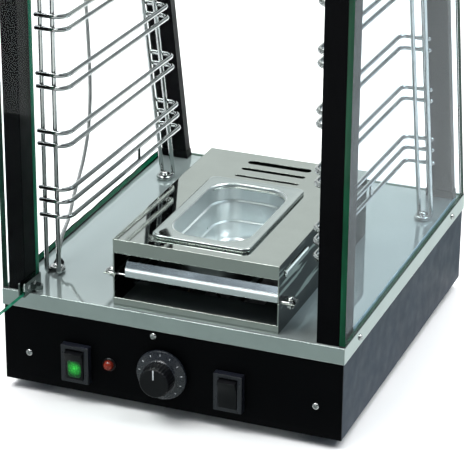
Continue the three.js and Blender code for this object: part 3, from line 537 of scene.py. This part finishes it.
def smooth_route(points, steps):
    """Smooth path, in metres, through points in millimetres."""
    points = [Vector(point) * MM for point in points]
    path = []
    for i in range(len(points) - 1):
        p0 = points[max(i - 1, 0)]
        p1, p2 = points[i], points[i + 1]
        p3 = points[min(i + 2, len(points) - 1)]
        span = (p2 - p1).length
        m1 = (p2 - p0).normalized() * span if i else p2 - p1
        m2 = (p3 - p1).normalized() * span
        for k in range(steps):
            t = k / steps
            path.append(p1 * (2 * t**3 - 3 * t**2 + 1) + m1 * (t**3 - 2 * t**2 + t)
                        + p2 * (3 * t**2 - 2 * t**3) + m2 * (t**3 - t**2))
    path.append(points[-1])
    return path


FORWARD = rotation(90, "X")  # turns +Z to the viewer in front (-Y)


def on_panel(node):
    """On the panel's face in front of a node, with +Z towards the viewer."""
    centre = middle(node)
    return Matrix.Translation((centre.x, PANEL_Y, centre.z)) @ FORWARD


def above(node, z):
    centre = middle(node)
    return Matrix.Translation((centre.x, centre.y, z))


# ---------- racks ----------
WIRE_R = 2.5 * MM
TIE_R = 1.9 * MM
WELD = 4.2 * MM  # distance between the centres of two welded wires
WELD_BEAD_R = 1.5 * MM
HAIRPIN_GAP = 14 * MM
FOOT_GAP = 0.3 * MM  # under the wires, over the deck
FOOT_BEND = WIRE_R + 1 * MM
RACK_FRONT_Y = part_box("rack_left")[0].y + WIRE_R + WELD
RACK_REAR_Y = 136 * MM
RACK_TOP = 426 * MM
RACK_TIE_Y = 8 * MM
TOP_BAR_DROP = 4 * MM
TOP_BAR_END = 3 * MM
HOOP_END = 5 * MM
HOOP_STANDOFF = 15 * MM
HOOP_BEND, HOOP_REAR_BEND = 13 * MM, 9 * MM
HOOP_HEIGHTS = [h * MM for h in (70, 87, 101, 150, 164, 213, 227, 276, 290, 339, 353)]


def bead(bm, centre, radius):
    """Weld bead where two wires touch."""
    part = bmesh.new()
    bmesh.ops.create_icosphere(part, subdivisions=2, radius=radius)
    add_mesh(bm, part, Matrix.Translation(centre))


def rack(node, inward, front_x, rear_x):
    """Rack of hairpins and hoops; front_x and rear_x are its outer uprights' places."""
    turn_r = HAIRPIN_GAP / 2 - 0.05 * MM
    foot_z = DECK_Z + FOOT_GAP + WIRE_R
    top_z = DECK_Z + RACK_TOP
    across = inward * HAIRPIN_GAP
    bm = bmesh.new()
    for outer, foot_y, top_y, sense in (
        (front_x, RACK_FRONT_Y, RACK_FRONT_Y, 1),
        (rear_x, RACK_REAR_Y, RACK_REAR_Y - LEAN * RACK_TOP, -1),
    ):
        inner = outer + across
        end_y = foot_y + sense * (WIRE_R + HAIRPIN_GAP)
        tube(bm, bent_path([
            (outer, top_y, top_z), (outer, foot_y, foot_z, FOOT_BEND),
            (outer, end_y, foot_z, turn_r), (inner, end_y, foot_z, turn_r),
            (inner, foot_y, foot_z, FOOT_BEND), (inner, top_y, top_z),
        ], WIRE_R), WIRE_R)
        bar_y = top_y - sense * WELD
        half = HAIRPIN_GAP / 2 + TOP_BAR_END
        centre = (outer + inner) / 2
        bar = [Vector((centre + k * half, bar_y, top_z - TOP_BAR_DROP)) for k in (-1, 1)]
        tube(bm, bar, WIRE_R)
    run = across + inward * HOOP_STANDOFF
    end = inward * HOOP_END
    front = RACK_FRONT_Y - WELD
    for height in HOOP_HEIGHTS:
        z = DECK_Z + height
        rear = RACK_REAR_Y - LEAN * height + WELD
        corners = [(front_x - end, front, z), (front_x + run, front, z, HOOP_BEND),
                   (rear_x + run, rear, z, HOOP_REAR_BEND), (rear_x - end, rear, z)]
        tube(bm, bent_path(corners, HOOP_BEND, 8), WIRE_R)
        for x, y in ((front_x, front + WELD / 2), (rear_x, rear - WELD / 2)):
            bead(bm, (x, y, z), WELD_BEAD_R)
            bead(bm, (x + across, y, z), WELD_BEAD_R)
    along = (RACK_TIE_Y - RACK_FRONT_Y) / (RACK_REAR_Y - RACK_FRONT_Y)
    tie_x = front_x + (rear_x - front_x) * along + run
    tie = [Vector((tie_x, RACK_TIE_Y, DECK_Z + h)) for h in HOOP_HEIGHTS[:2]]
    tube(bm, tie, TIE_R, round_ends=False)
    finish(f"{node}_wires", bm, [CHROME], "case", node, sharp=60)


# ---------- screws ----------
SHANK_R = 1.9 * MM
SEAT_GAP = 0.3 * MM  # between the head and what it stands on
WASHER = 1.0 * MM
DOME_STEPS = 6
RECESS_TURN = 20  # degrees


def cross_recess(bm, depth_from, depth_to, reach, matrix):
    """Two crossed slots, as a dark insert."""
    arm = reach * 0.22
    for quarter in range(2):
        spin = matrix @ rotation(90 * quarter + RECESS_TURN, "Z")
        block(bm, (-reach, -arm, depth_from), (reach, arm, depth_to), 0.15 * MM, spin, 1)


def pan_head(name, place, head_r, head_h, body, *replaced, washer_r=0.0, shank=7 * MM):
    """Screw with a low domed head and a cross recess, standing at a place."""
    bm = bmesh.new()
    seat = SEAT_GAP
    profile = [(0, -shank), (SHANK_R, -shank), (SHANK_R, seat)]
    if washer_r:
        profile += [(washer_r, seat), (washer_r, seat + 0.9 * MM),
                    (head_r + 0.2 * MM, seat + WASHER)]
        seat += WASHER
    profile.append((head_r, seat))
    for k in range(DOME_STEPS + 1):
        angle = math.radians(90 * k / DOME_STEPS)
        reach = head_r * math.cos(angle) ** 0.7 if k < DOME_STEPS else 0
        profile.append((reach, seat + head_h * math.sin(angle)))
    turn(bm, profile, place)
    cross_recess(bm, seat + head_h * 0.45, seat + head_h * 0.99, head_r * 0.5, place)
    finish(name, bm, [BRIGHT, PLASTIC], body, *replaced)


def screws():
    for side in ("left", "top", "right"):
        node = f"panel_screw_{side}"
        pan_head(f"{node}_head", on_panel(node), 3.8 * MM, 1.9 * MM, "case", node)
    for side, sx in (("left", -1), ("right", 1)):
        node = f"deck_screw_{side}"
        centre = middle(node)
        for end, y, replaced in (("head", centre.y, [node]), ("rear", -centre.y, [])):
            place = Matrix.Translation((DECK_HIGH.x * sx, y, centre.z)) @ rotation(90 * sx, "Y")
            pan_head(f"{node}_{end}", place, 3.5 * MM, 2 * MM, "case", *replaced,
                     shank=1 * MM)
    wire_top = DECK_Z + FOOT_GAP + 2 * WIRE_R
    for corner in ("front_left", "rear_left", "front_right", "rear_right"):
        node = f"rack_screw_{corner}"
        pan_head(f"{node}_head", above(node, wire_top), 3.9 * MM, 2.5 * MM, "case", node,
                 washer_r=6.1 * MM, shank=12 * MM)
    ear_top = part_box("humidifier_handle")[0].z + STRAP_SHEET * MM
    for side in ("left", "right"):
        node = f"handle_screw_{side}"
        pan_head(f"{node}_head", above(node, ear_top), 3.7 * MM, 2.1 * MM, "humidifier", node,
                 washer_r=4.9 * MM, shank=9.5 * MM)


# ---------- water pan ----------
# Stations in millimetres: how far in from the rim's edge, corner radius, depth under the rim.
PAN_SHEET = 0.9
PAN_FLOOR = 64.95  # deepest the outside may reach
PAN_TURN_IN = (9.4, 25, 1.7)
OPENING_BACK, OPENING_SHORTER = 2, 4  # how the opening differs from the rim
PAN_RIM = [
    (3.5, 6.5, 1.0), (1.4, 8.2, 1.2), (1.0, 8.4, 3.4), (0.2, 9, 3.4), (0.0, 9, 2.8),
    (0.1, 9, 1.0), (0.5, 8.7, 0.3), (1.2, 8.1, 0.05), (2.0, 7.6, 0.0), (3.0, 8.2, 0.35),
    (4.6, 10.5, 0.55), (7.4, 17, 0.7),
]
PAN_INSIDE = [
    (9.9, 27, 0.95), (10.8, 28.3, 1.9), (11.2, 28.4, 4), (11.5, 28.2, 18), (11.9, 28.0, 19.2),
    (14.0, 27.0, 20.2), (14.5, 26.8, 21.4), (15.0, 26.5, 40), (15.4, 26.3, 41.2),
    (17.4, 25.2, 42.2), (17.9, 25.0, 43.4), (18.6, 24.6, 56), (19.7, 24.0, 60.3),
    (21.2, 23.0, 62.2), (23.2, 21.8, 63.3), (26, 20.4, 63.8), (29, 19, 64), (32, 17.6, 64),
]


def water_pan():
    """Drawn pan; its opening is shorter than the rim and lies a little further back."""
    low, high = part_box("water_pan")
    centre = (low + high) / 2
    width = (high.x - low.x) / MM
    length = (high.y - low.y) / MM
    top = high.z / MM
    outside = [(inset - PAN_SHEET * 0.8, radius + PAN_SHEET, depth + PAN_SHEET)
               for inset, radius, depth in PAN_INSIDE[1:]]

    def ring(inset, radius, depth):
        share = min(max((inset - 4) / 5, 0), 1)
        long = length - 2 * inset - OPENING_SHORTER * share
        return rounded_ring((width - 2 * inset) * MM, long * MM, radius * MM,
                            (top - depth) * MM, centre.x,
                            centre.y + OPENING_BACK * share * MM)

    under = [(i, r, min(d, PAN_FLOOR)) for i, r, d in reversed(outside)] + [PAN_TURN_IN]
    rings = [ring(*station) for station in under + PAN_RIM + PAN_INSIDE]
    corners = len(rings[0])
    bm = bmesh.new()
    faces = bridge(bm, rings)
    rim_from = (len(under) - 1) * corners
    rim_to = (len(under) + len(PAN_RIM)) * corners
    # The outside of the pan takes the darkened copy of its steel: painted shade.
    for face in faces[:rim_from]:
        face.material_index = 2
    for face in faces[rim_from:rim_to]:
        face.material_index = 1
    finish("water_pan_pressing", bm, [PAN, RIM, PAN_OUTSIDE_SHADE], "pan", "water_pan", sharp=24)


# ---------- humidifier strap and ribs ----------
STRAP_SHEET = 1.5  # millimetres
STRAP_LEFT, STRAP_RIGHT = -51 * MM, 115.9 * MM
STRAP_END = 0.5 * MM
NUT_HEIGHT = 27.6 * MM
NUT = in_mm([(0, 0), (3.6, 0), (4, 0.4), (4, 2.6), (3.6, 3), (0, 3)])
BOX_LOW, BOX_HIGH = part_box("humidifier_box")
RIB_WALLS = (("left", BOX_LOW.x + 12.5 * MM, -1), ("right", BOX_HIGH.x - 15.5 * MM, 1))
RIB_Y = -159 * MM
RIB_Z = 165 * MM
RIB_CROWN = [  # width, length and height over the wall, in millimetres
    (7.8, 68.8, 0.1), (7.7, 68.7, 1.0), (7.3, 68.3, 1.5), (6.0, 67, 1.75), (3.4, 64.4, 1.95),
    (1.2, 62.2, 2.0),
]


def humidifier_strap():
    """Folded strap across the box's mouth, its ears and the nuts under them."""
    low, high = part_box("humidifier_handle")
    t = STRAP_SHEET
    tall = (high.z - low.z) / MM
    fold = [  # depth from the strap's front and height from its underside, round the sheet
        (6.6, tall), (2.1, tall - 5.6), (1.7, tall - 6.1), (1.6, tall - 6.6), (0.5, 1.2),
        (0.6, 0.4), (1.2, 0), (10, 0), (10, t), (2.9, t), (2.2, 2.1), (3.0, tall - 6.8),
        (3.4, tall - 6.3), (7.6, tall - 1.1),
    ]
    ends = (STRAP_LEFT, STRAP_LEFT + STRAP_END, STRAP_RIGHT - STRAP_END, STRAP_RIGHT)
    bm = bmesh.new()
    faces = bridge(bm, [[Vector((x, low.y + y * MM, low.z + z * MM)) for y, z in fold]
                        for x in ends])
    for face in faces[:-2:len(fold)]:  # the upper facet, from the first point to the second, takes the darkened copy: painted shade
        face.material_index = 2
    bridge(bm, [rounded_ring(high.x - low.x - inset, 14 * MM - inset, 6.9 * MM - inset / 2,
                             low.z + z * MM, (low.x + high.x) / 2,
                             middle("handle_screw_left").y, 10)
                for inset, z in ((0.5 * MM, 0), (0, 0.25), (0, t - 0.25), (0.5 * MM, t))],
           material=1)
    for screw in ("handle_screw_left", "handle_screw_right"):
        turn(bm, NUT, above(screw, BOX_LOW.z + NUT_HEIGHT), 6, 1)
    finish("humidifier_strap", bm, [STRAP_BRIGHTENED, BRIGHT, STRAP_TOP_SHADE], "humidifier",
           "humidifier_handle", sharp=25)


def humidifier_ribs():
    """Polished crowns of the pressed ribs in the box's side walls."""
    for side, wall, sense in RIB_WALLS:
        bm = bmesh.new()
        across = Matrix.Translation((wall, RIB_Y, RIB_Z)) @ rotation(90 * sense, "Y")
        bridge(bm, [[across @ p for p in rounded_ring(
            wide * MM, long * MM, wide * MM / 2 - 0.02 * MM, z * MM, steps=10)]
            for wide, long, z in RIB_CROWN])
        finish(f"humidifier_rib_{side}", bm, [RIM], "humidifier")


# ---------- door ----------
DOOR_REST = -92  # degrees from closed to the photograph's position
CLAMP_TAIL, CLAMP_REACH, CLAMP_TALL = -9 * MM, 26.5 * MM, 15 * MM
CLAMP_FRONT, CLAMP_BACK = -10.3 * MM, -1.7 * MM
CLAMP_SHEET = 1.5 * MM
CLAMP_BEND, CLAMP_INNER_BEND = 1.2 * MM, 0.3 * MM
CLAMP_CHAMFER = 0.3 * MM
LUG_SIZE = (10 * MM, 15.3 * MM, 4.9 * MM)  # width, length and corner radius
LUG_Y, LUG_TALL = -2.65 * MM, 4.5 * MM
SET_SCREW_PLACES, SET_SCREW_HEIGHT = (5 * MM, 18 * MM), 8.5 * MM
SET_SCREW = in_mm([(0, -0.4), (2.4, -0.4), (2.4, 0.45), (2.1, 0.7), (1.2, 0.7), (1.2, 0.1),
                   (0, 0.1)])
KNOB_REACH = 284 * MM
DOOR_KNOB = in_mm([
    (0, -6.3), (5.6, -6.3), (6.8, -5.4), (6.9, -1), (6.9, -0.35), (3.5, -0.35), (3.5, 5.35),
    (6.4, 5.35), (6.5, 6.2), (5.2, 8), (4.8, 10.5), (5.6, 13.5), (8.6, 16), (11, 18.6),
    (11.4, 21.5), (10.6, 24), (8.4, 25.8), (4.5, 26.7), (0, 26.9),
])


def door_place():
    """Takes the closed door's coordinates, from its pivot, to the rest pose."""
    pivot = middle("pivot_pin_lower")
    return Matrix.Translation((pivot.x, pivot.y, 0)) @ rotation(DOOR_REST, "Z")


def clamp_outline():
    """Round the folded channel's section, with its bends rounded."""
    front, back, tall = CLAMP_FRONT, CLAMP_BACK, CLAMP_TALL
    plate, bend, inner_bend = CLAMP_SHEET, CLAMP_BEND, CLAMP_INNER_BEND
    section = [
        (front, tall, 0), (front, 0, bend), (back, 0, bend), (back, tall, 0),
        (back - plate, tall, 0), (back - plate, plate, inner_bend),
        (front + plate, plate, inner_bend), (front + plate, tall, 0),
    ]
    outline = []
    for i, (y, z, corner) in enumerate(section):
        if not corner:
            outline.append((y, z))
            continue
        point = Vector((y, z))
        before = Vector(section[i - 1][:2]) - point
        after = Vector(section[(i + 1) % len(section)][:2]) - point
        a = point + before.normalized() * corner
        b = point + after.normalized() * corner
        for k in range(5):
            t = k / 4
            outline.append(tuple(a * (1 - t) ** 2 + point * 2 * t * (1 - t) + b * t * t))
    return outline


def door_clamp(node, up):
    """Folded channel with two set screws, cut square at its free end."""
    low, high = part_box(node)
    seat = low.z if up > 0 else high.z
    flip = Matrix.Translation((0, 0, seat)) @ Matrix.Diagonal((1, 1, up, 1))
    place = door_place() @ flip
    outline = clamp_outline()
    bm = bmesh.new()
    bridge(bm, [[place @ Vector((x, y, min(z, CLAMP_TALL - inset))) for y, z in outline]
                for x, inset in ((CLAMP_TAIL, CLAMP_CHAMFER), (CLAMP_TAIL + CLAMP_CHAMFER, 0),
                                 (CLAMP_REACH - CLAMP_CHAMFER, 0), (CLAMP_REACH, CLAMP_CHAMFER))])
    bridge(bm, [[place @ p for p in rounded_ring(*LUG_SIZE, z, 0, LUG_Y)]
                for z in (0, LUG_TALL)])
    for x in SET_SCREW_PLACES:
        for face, sense in ((CLAMP_FRONT, 1), (CLAMP_BACK, -1)):
            spot = place @ Matrix.Translation((x, face, SET_SCREW_HEIGHT))
            turn(bm, SET_SCREW, spot @ rotation(90 * sense, "X"), 18, 1)
    finish(f"{node}_channel", bm, [CLAMP, BRIGHT], "door", node)


def door_knob():
    low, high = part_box("door_handle")
    pane_back = Vector((KNOB_REACH, -3.5 * MM, (low.z + high.z) / 2))
    place = door_place() @ Matrix.Translation(pane_back) @ FORWARD
    bm = bmesh.new()
    turn(bm, DOOR_KNOB, place, 36)
    finish("door_knob", bm, [CHROME], "door", "door_handle", sharp=50)


# ---------- controls ----------
KNOB_SKIRT = in_mm([
    (3.2, 14.2), (3.2, 4.1), (26.8, 4.1), (27.8, 4.8), (28, 5.6), (27.4, 7.4), (24, 9),
    (20, 10.4), (18.6, 11.2), (17.8, 12.2), (3.2, 14.2),
])
KNOB_GRIP = in_mm([(0, 13.6), (17.0, 12.4), (17.4, 13.2), (16.3, 26.4), (15.6, 27.6),
                   (14.2, 28.3), (12.8, 28.1), (0, 27.7)])
POINTER = ((-0.75 * MM, 4.5 * MM, 27.6 * MM), (0.75 * MM, 15.2 * MM, 28.5 * MM))
DIAL_TICK = ((-0.35 * MM, 22.2 * MM, 8.7 * MM), (0.35 * MM, 24.6 * MM, 9.5 * MM))
DIAL_TICKS, DIAL_START, DIAL_STEP = 11, 135, 27  # count, degrees, degrees
ROCKER_W, ROCKER_H = 10 * MM, 15.5 * MM  # half sizes
ROCKER_TILT = 8  # degrees
ROCKER_FACE, DISH_DEPTH = -8 * MM, 2.1 * MM
ROCKER_EDGE = 0.8 * MM
ROCKER_STRIPS = 12
LENS = (-13 * MM, 6.5 * MM, 7.8 * MM, 0.25 * MM)  # bottom, top, half width, proud of the cap
AXLE = in_mm([(0, -12), (1.5, -12), (1.5, 12), (0, 12)])
PILOT_BEZEL = in_mm([(0, -18), (5.7, -18), (5.7, 0.3), (7.4, 0.3), (7.55, 0.9), (7.0, 1.7),
                     (6.0, 2.1), (5.7, 1.6), (0, 1.5)])
PILOT_LENS = in_mm([(0, 1.2), (5.4, 1.2), (5.4, 2.8), (5.1, 4.6), (4.1, 6.2), (2.4, 7.3),
                    (0, 7.7)])


def knob():
    place = on_panel("thermostat_knob")
    bm = bmesh.new()
    turn(bm, KNOB_SKIRT, place, 96, loop=True)
    turn(bm, KNOB_GRIP, place, 120, 1, lambda a, _: 1 + 0.018 * math.cos(30 * a))
    block(bm, *POINTER, 0.25 * MM, place, 2)
    for step in range(DIAL_TICKS):
        spin = place @ rotation(DIAL_START - DIAL_STEP * step, "Z")
        block(bm, *DIAL_TICK, 0.12 * MM, spin, 2)
    finish("thermostat_knob_moulding", bm, [SPECKLED, PLASTIC, WHITE_MARK], "knob",
           "thermostat_knob")


def rocker(node, body, lit):
    """Rocker cap with a dished face; the lit one has a lens in its lower half."""
    centre = (middle(node).x, PANEL_Y - 4 * MM, middle("heat_switch_body").z)
    place = Matrix.Translation(centre) @ rotation(ROCKER_TILT, "X")
    bm = bmesh.new()

    def face_depth(h):
        return ROCKER_FACE + DISH_DEPTH * math.cos(math.pi * h / (2 * ROCKER_H)) ** 1.5

    def strip(bottom, top, half, proud, material):
        edge, back = ROCKER_EDGE, 0.5 * MM
        rings = []
        for k in range(ROCKER_STRIPS + 1):
            h = bottom + (top - bottom) * k / ROCKER_STRIPS
            d = face_depth(h) - proud
            w = half
            if material:  # the lens narrows towards its ends
                w = half * (1 - 0.28 * abs(2 * k / ROCKER_STRIPS - 1) ** 6)
            rings.append([place @ Vector(p) for p in (
                (-w, back, h), (w, back, h), (w, d + edge, h),
                (w - edge * 0.3, d + edge * 0.3, h), (w - edge, d, h), (-w + edge, d, h),
                (-w + edge * 0.3, d + edge * 0.3, h), (-w, d + edge, h))])
        bridge(bm, rings, material=material)

    strip(-ROCKER_H, ROCKER_H, ROCKER_W, 0, 0)
    if lit:
        strip(*LENS, 1)
    block(bm, (-ROCKER_W + 1 * MM, -1 * MM, -5 * MM), (ROCKER_W - 1 * MM, 5.4 * MM, 5 * MM),
          1 * MM, place)
    turn(bm, AXLE, place @ rotation(90, "Y"), 16)
    finish(f"{node}_cap", bm, [PLASTIC, GREEN], body, node)


def pilot_lamp():
    place = on_panel("pilot_lamp")
    bm = bmesh.new()
    turn(bm, PILOT_BEZEL, place, 32)
    turn(bm, PILOT_LENS, place, 48, 1, lambda a, _: 1 + 0.012 * math.cos(16 * a))
    finish("pilot_lamp_lens", bm, [PLASTIC, RED], "case", "pilot_lamp")


# ---------- lamp lead ----------
LEAD_R = 2.1 * MM
LEAD_ROUTE = [  # the same route as the CAD lead, in millimetres
    (-160, -137.7, 72), (-160, -137.7, 90), (-160, -137.7, 112), (-160.3, -134.5, 124),
    (-161.2, -125, 134), (-163, -104, 146), (-165, -83.7, 168), (-166, -62.1, 190),
    (-166, -46, 220), (-166, -39, 250), (-166, -37.5, 290), (-166, -42, 350),
    (-166, -52, 430), (-166, -58, 500), (-166, -58, 538), (-159, -58, 550),
    (-130, -58, 552), (-107, -58, 546), (-105, -58, 532),
]
GLAND = in_mm([(2.9, 6), (2.9, 0.4), (5.4, 0.4), (5.6, 0.8), (5.6, 2.8), (5.3, 3.2),
               (4.7, 3.4), (4.5, 4.8), (3.8, 5.8), (2.9, 6)])
GLAND_HEX_FROM = 5 * MM


def gland_flats(angle, radius):
    """The gland's widest part is a hexagon with trimmed corners."""
    if radius <= GLAND_HEX_FROM:
        return 1
    wedge = (angle + math.pi / 6) % (math.pi / 3) - math.pi / 6
    return min(math.cos(math.pi / 6) / math.cos(wedge) * 1.06, 1)


def lamp_lead():
    bm = bmesh.new()
    route = smooth_route(LEAD_ROUTE, 10)
    tube(bm, route, LEAD_R, 12, round_ends=False)
    lead = finish("lamp_lead_sleeve", bm, [BRAID], "case", "lamp_lead", sharp=70)
    bm = bmesh.new()
    turn(bm, GLAND, above("lead_gland", DECK_Z), 48, lobes=gland_flats, loop=True)
    finish("lead_gland_nut", bm, [PLASTIC], "case", "lead_gland")


# ---------- glass beads ----------
BEAD_FRONT, BEAD_REAR = 38 * MM, 24 * MM  # how far each end stops short of the pane's
BEAD_STEPS = 36


def glass_bead(side, sx, materials, tall):
    """Sealant along the foot of a side pane, leaning against it; materials: body and lip."""
    low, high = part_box(f"side_glass_{side}")
    inner = low.x if sx > 0 else high.x
    front, rear = low.y + BEAD_FRONT, high.y - BEAD_REAR
    section = ((0, 0), (tall * 0.42, 0), (tall * 0.4, 0.8), (tall * 0.3, tall * 0.26),
               (tall * 0.2, tall * 0.5), (1.1, tall * 0.92), (0, tall))
    bm = bmesh.new()
    rings = []
    for k in range(BEAD_STEPS + 1):
        y = front + (rear - front) * k / BEAD_STEPS
        swell = 1 + 0.05 * math.sin(k * 1.7) + 0.04 * math.sin(k * 0.61)
        rings.append([Vector((inner - sx * (x + 0.15) * MM * swell, y,
                              DECK_Z + (z + 0.3) * MM * swell)) for x, z in section])
    faces = bridge(bm, rings)
    # The lip faces take the second material; on the left bead that is the painted reflection of
    # the pane's green edge.
    for index, face in enumerate(faces[:-2]):
        face.material_index = 1 if index % len(section) in (3, 4) else 0
    finish(f"glass_bead_{side}", bm, materials, "case", sharp=60)


# ---------- inside the base ----------
WIRE_RUNS = [  # millimetres
    ((-107, -179, 42), (-107, -150, 40), (-128, -60, 14), (-124, 60, 12), (-122, 138, 13),
     (-122, 148, 14)),
    ((64, -179, 42), (62, -150, 38), (20, -60, 12), (-60, 60, 12), (-109, 136, 13),
     (-109, 148, 14)),
    ((-10, -184, 44), (-12, -150, 30), (-60, -40, 12), (-90, 80, 12), (-96, 136, 13),
     (-96, 148, 14)),
    ((120, 187, 45), (118, 170, 40), (60, 150, 20), (-20, 158, 16), (-70, 162, 12),
     (-74, 162, 10)),
]


def base_wiring():
    """Wires between the switches, thermostat, terminal block and inlet."""
    bm = bmesh.new()
    for index, run in enumerate(WIRE_RUNS):
        tube(bm, smooth_route(run, 8), 1.5 * MM, 10, material=index % 2)
    finish("base_wiring", bm, [CREAM, PLASTIC], "case")


# ---------- floor, light and camera ----------
CARD_LIFT = 2 * MM
CARD_SIDE_TONE = (0.72, 0.80, 0.80)
CARDS = [  # name, two corners in metres, tone, and the tone it fades to on its right
    ("near_card", (-3, -0.9), (3, -0.23), (0.29, 0.345, 0.34), (0.9, 0.95, 0.93)),
    ("far_card", (-3, -4.5), (3, -0.9), (1.35, 1.42, 1.42), None),
    ("right_card", (0.22, -0.23), (3, 3), CARD_SIDE_TONE, None),
    ("left_card", (-3, -0.23), (-0.22, 3), CARD_SIDE_TONE, None),
    ("rear_card", (-0.22, 0.24), (0.22, 3), CARD_SIDE_TONE, None),
]
WHITE = (1, 1, 1)
DIM = (0.30, 0.32, 0.34)
SOFTBOXES = [  # place, target, size, power, color
    ((-0.9, -1.2, 3.0), (0, 0, 0), (2.2, 1.6), 95, WHITE),
    ((1.6, 0.4, 3.0), (0.2, 0.2, 0), (2.2, 2.2), 110, (0.97, 0.99, 1)),
    ((-0.6, 1.6, 3.2), (0, 0.6, 0), (2.6, 1.6), 90, WHITE),
]
# Each stop is half a direction's component plus a half.
BY_HEIGHT = [(0.45, WHITE), (0.66, (0.88, 0.91, 0.92)), (0.78, (0.82, 0.85, 0.87)),
             (1, (0.78, 0.80, 0.82))]
BY_SIDE = [(0.52, WHITE), (0.64, DIM), (1, DIM)]
BY_DEPTH = [(0.25, (0.08, 0.09, 0.10)), (0.45, (0.26, 0.28, 0.30)), (0.56, WHITE), (1, WHITE)]
DEPTH_DIRECTION = (0.0, 0.75, 0.66)  # back and up
CAMERA_PLACE = (0.81405, -2.1379, 1.1240)
CAMERA_ANGLES = (21.17, 23.86, 0.42)  # yaw, pitch and roll in degrees
CAMERA_LENS = 175.9


def level_sheet(name, divisions, size, look):
    bm = bmesh.new()
    bmesh.ops.create_grid(bm, x_segments=divisions, y_segments=divisions, size=size)
    mesh = bpy.data.meshes.new(name)
    bm.to_mesh(mesh)
    bm.free()
    mesh.materials.append(look.material)
    obj = bpy.data.objects.new(name, mesh)
    bpy.context.scene.collection.objects.link(obj)
    return obj


def floor():
    pale = Material("pale_floor", (0.86, 0.86, 0.86), 0.7)
    pale.vary_roughness(pale.noise(4, 2), 0.65, 0.8)
    obj = level_sheet("floor", 24, 6, pale)
    obj.location = (0, 0, FLOOR_Z)


def card(name, low, high, tone, aside):
    """Card lying on the floor, seen only in reflections, so that steel faces keep their tone."""
    look = Material(name, (0, 0, 0), 0.9, Emission_Strength=1.0, Emission_Color=(*tone, 1))
    if aside:
        share = look.between(look.coordinate("Object", "X"), 0, 1, 0.04, 0.2)
        look.link(look.blend(share, tone, aside), look.shader.inputs["Emission Color"])
    obj = level_sheet(name, 8, 0.5, look)
    obj.scale = (high[0] - low[0], high[1] - low[1], 1)
    obj.location = ((low[0] + high[0]) / 2, (low[1] + high[1]) / 2, FLOOR_Z + CARD_LIFT)
    for rays in ("camera", "diffuse", "transmission", "shadow", "volume_scatter"):
        setattr(obj, f"visible_{rays}", False)


def softbox(place, target, size, power, color):
    data = bpy.data.lights.new("softbox", "AREA")
    data.shape = "RECTANGLE"
    data.size, data.size_y = size
    data.energy = power
    data.color = color
    obj = bpy.data.objects.new("softbox", data)
    obj.location = place
    towards = Vector(target) - Vector(place)
    obj.rotation_euler = towards.to_track_quat("-Z", "Y").to_euler()
    bpy.context.scene.collection.objects.link(obj)


def studio():
    """Bright behind and overhead, dark towards the viewer, as in a product booth."""
    scene = bpy.context.scene
    scene.view_settings.view_transform = "Standard"
    world = bpy.data.worlds.new("studio")
    scene.world = world
    world.use_nodes = True
    tree = world.node_tree
    background = tree.nodes["Background"]
    background.inputs["Strength"].default_value = 1.0
    where = tree.nodes.new("ShaderNodeTexCoord").outputs["Generated"]
    split = tree.nodes.new("ShaderNodeSeparateXYZ")
    tree.links.new(where, split.inputs[0])
    depth = tree.nodes.new("ShaderNodeVectorMath")
    depth.operation = "DOT_PRODUCT"
    depth.inputs[1].default_value = DEPTH_DIRECTION
    tree.links.new(where, depth.inputs[0])

    def ramp(value, stops):
        made = tree.nodes.new("ShaderNodeValToRGB")
        half = tree.nodes.new("ShaderNodeMapRange")
        half.inputs["From Min"].default_value = -1
        tree.links.new(value, half.inputs["Value"])
        tree.links.new(half.outputs["Result"], made.inputs["Fac"])
        elements = made.color_ramp.elements
        for element, (position, color) in zip(elements, (stops[0], stops[-1])):
            element.position, element.color = position, (*color, 1)
        for position, color in stops[1:-1]:
            elements.new(position).color = (*color, 1)
        return made.outputs["Color"]

    tone = ramp(split.outputs["Z"], BY_HEIGHT)
    for layer in (ramp(depth.outputs["Value"], BY_DEPTH), ramp(split.outputs["X"], BY_SIDE)):
        both = tree.nodes.new("ShaderNodeMix")
        both.data_type = "RGBA"
        both.blend_type = "MULTIPLY"
        both.inputs["Factor"].default_value = 1
        tree.links.new(tone, both.inputs["A"])
        tree.links.new(layer, both.inputs["B"])
        tone = both.outputs["Result"]
    tree.links.new(tone, background.inputs["Color"])
    for settings in SOFTBOXES:
        softbox(*settings)


def camera():
    """Looks down on the deck from in front, to the right of the service side."""
    yaw, pitch, roll = (math.radians(a) for a in CAMERA_ANGLES)
    forward = Vector((-math.sin(yaw) * math.cos(pitch), math.cos(yaw) * math.cos(pitch),
                      -math.sin(pitch)))
    level = Vector((math.cos(yaw), math.sin(yaw), 0))
    down = forward.cross(level)
    right = level * math.cos(roll) - down * math.sin(roll)
    down = level * math.sin(roll) + down * math.cos(roll)
    data = bpy.data.cameras.new("camera")
    data.lens = CAMERA_LENS
    data.sensor_width = 36
    data.clip_end = 50
    obj = bpy.data.objects.new("camera", data)
    axes = Matrix((right, -down, -forward)).transposed().to_4x4()
    obj.matrix_world = Matrix.Translation(CAMERA_PLACE) @ axes
    bpy.context.scene.collection.objects.link(obj)
    bpy.context.scene.camera = obj


rack("rack_left", 1, -161.7 * MM, -155.5 * MM)  # both stand a little askew
rack("rack_right", -1, 165.4 * MM, 170.5 * MM)
screws()
water_pan()
humidifier_strap()
humidifier_ribs()
door_clamp("door_clamp_lower", 1)
door_clamp("door_clamp_upper", -1)
door_knob()
knob()
rocker("heat_rocker", "heat_switch", True)
rocker("light_rocker", "light_switch", False)
pilot_lamp()
lamp_lead()
glass_bead("left", -1, [SEALANT, GREEN_EDGE_REFLECTION], 7)
glass_bead("right", 1, [PALE_SEALANT, PALE_SEALANT], 5)
base_wiring()
floor()
for settings in CARDS:
    card(*settings)
studio()
camera()

bpy.context.view_layer.update()
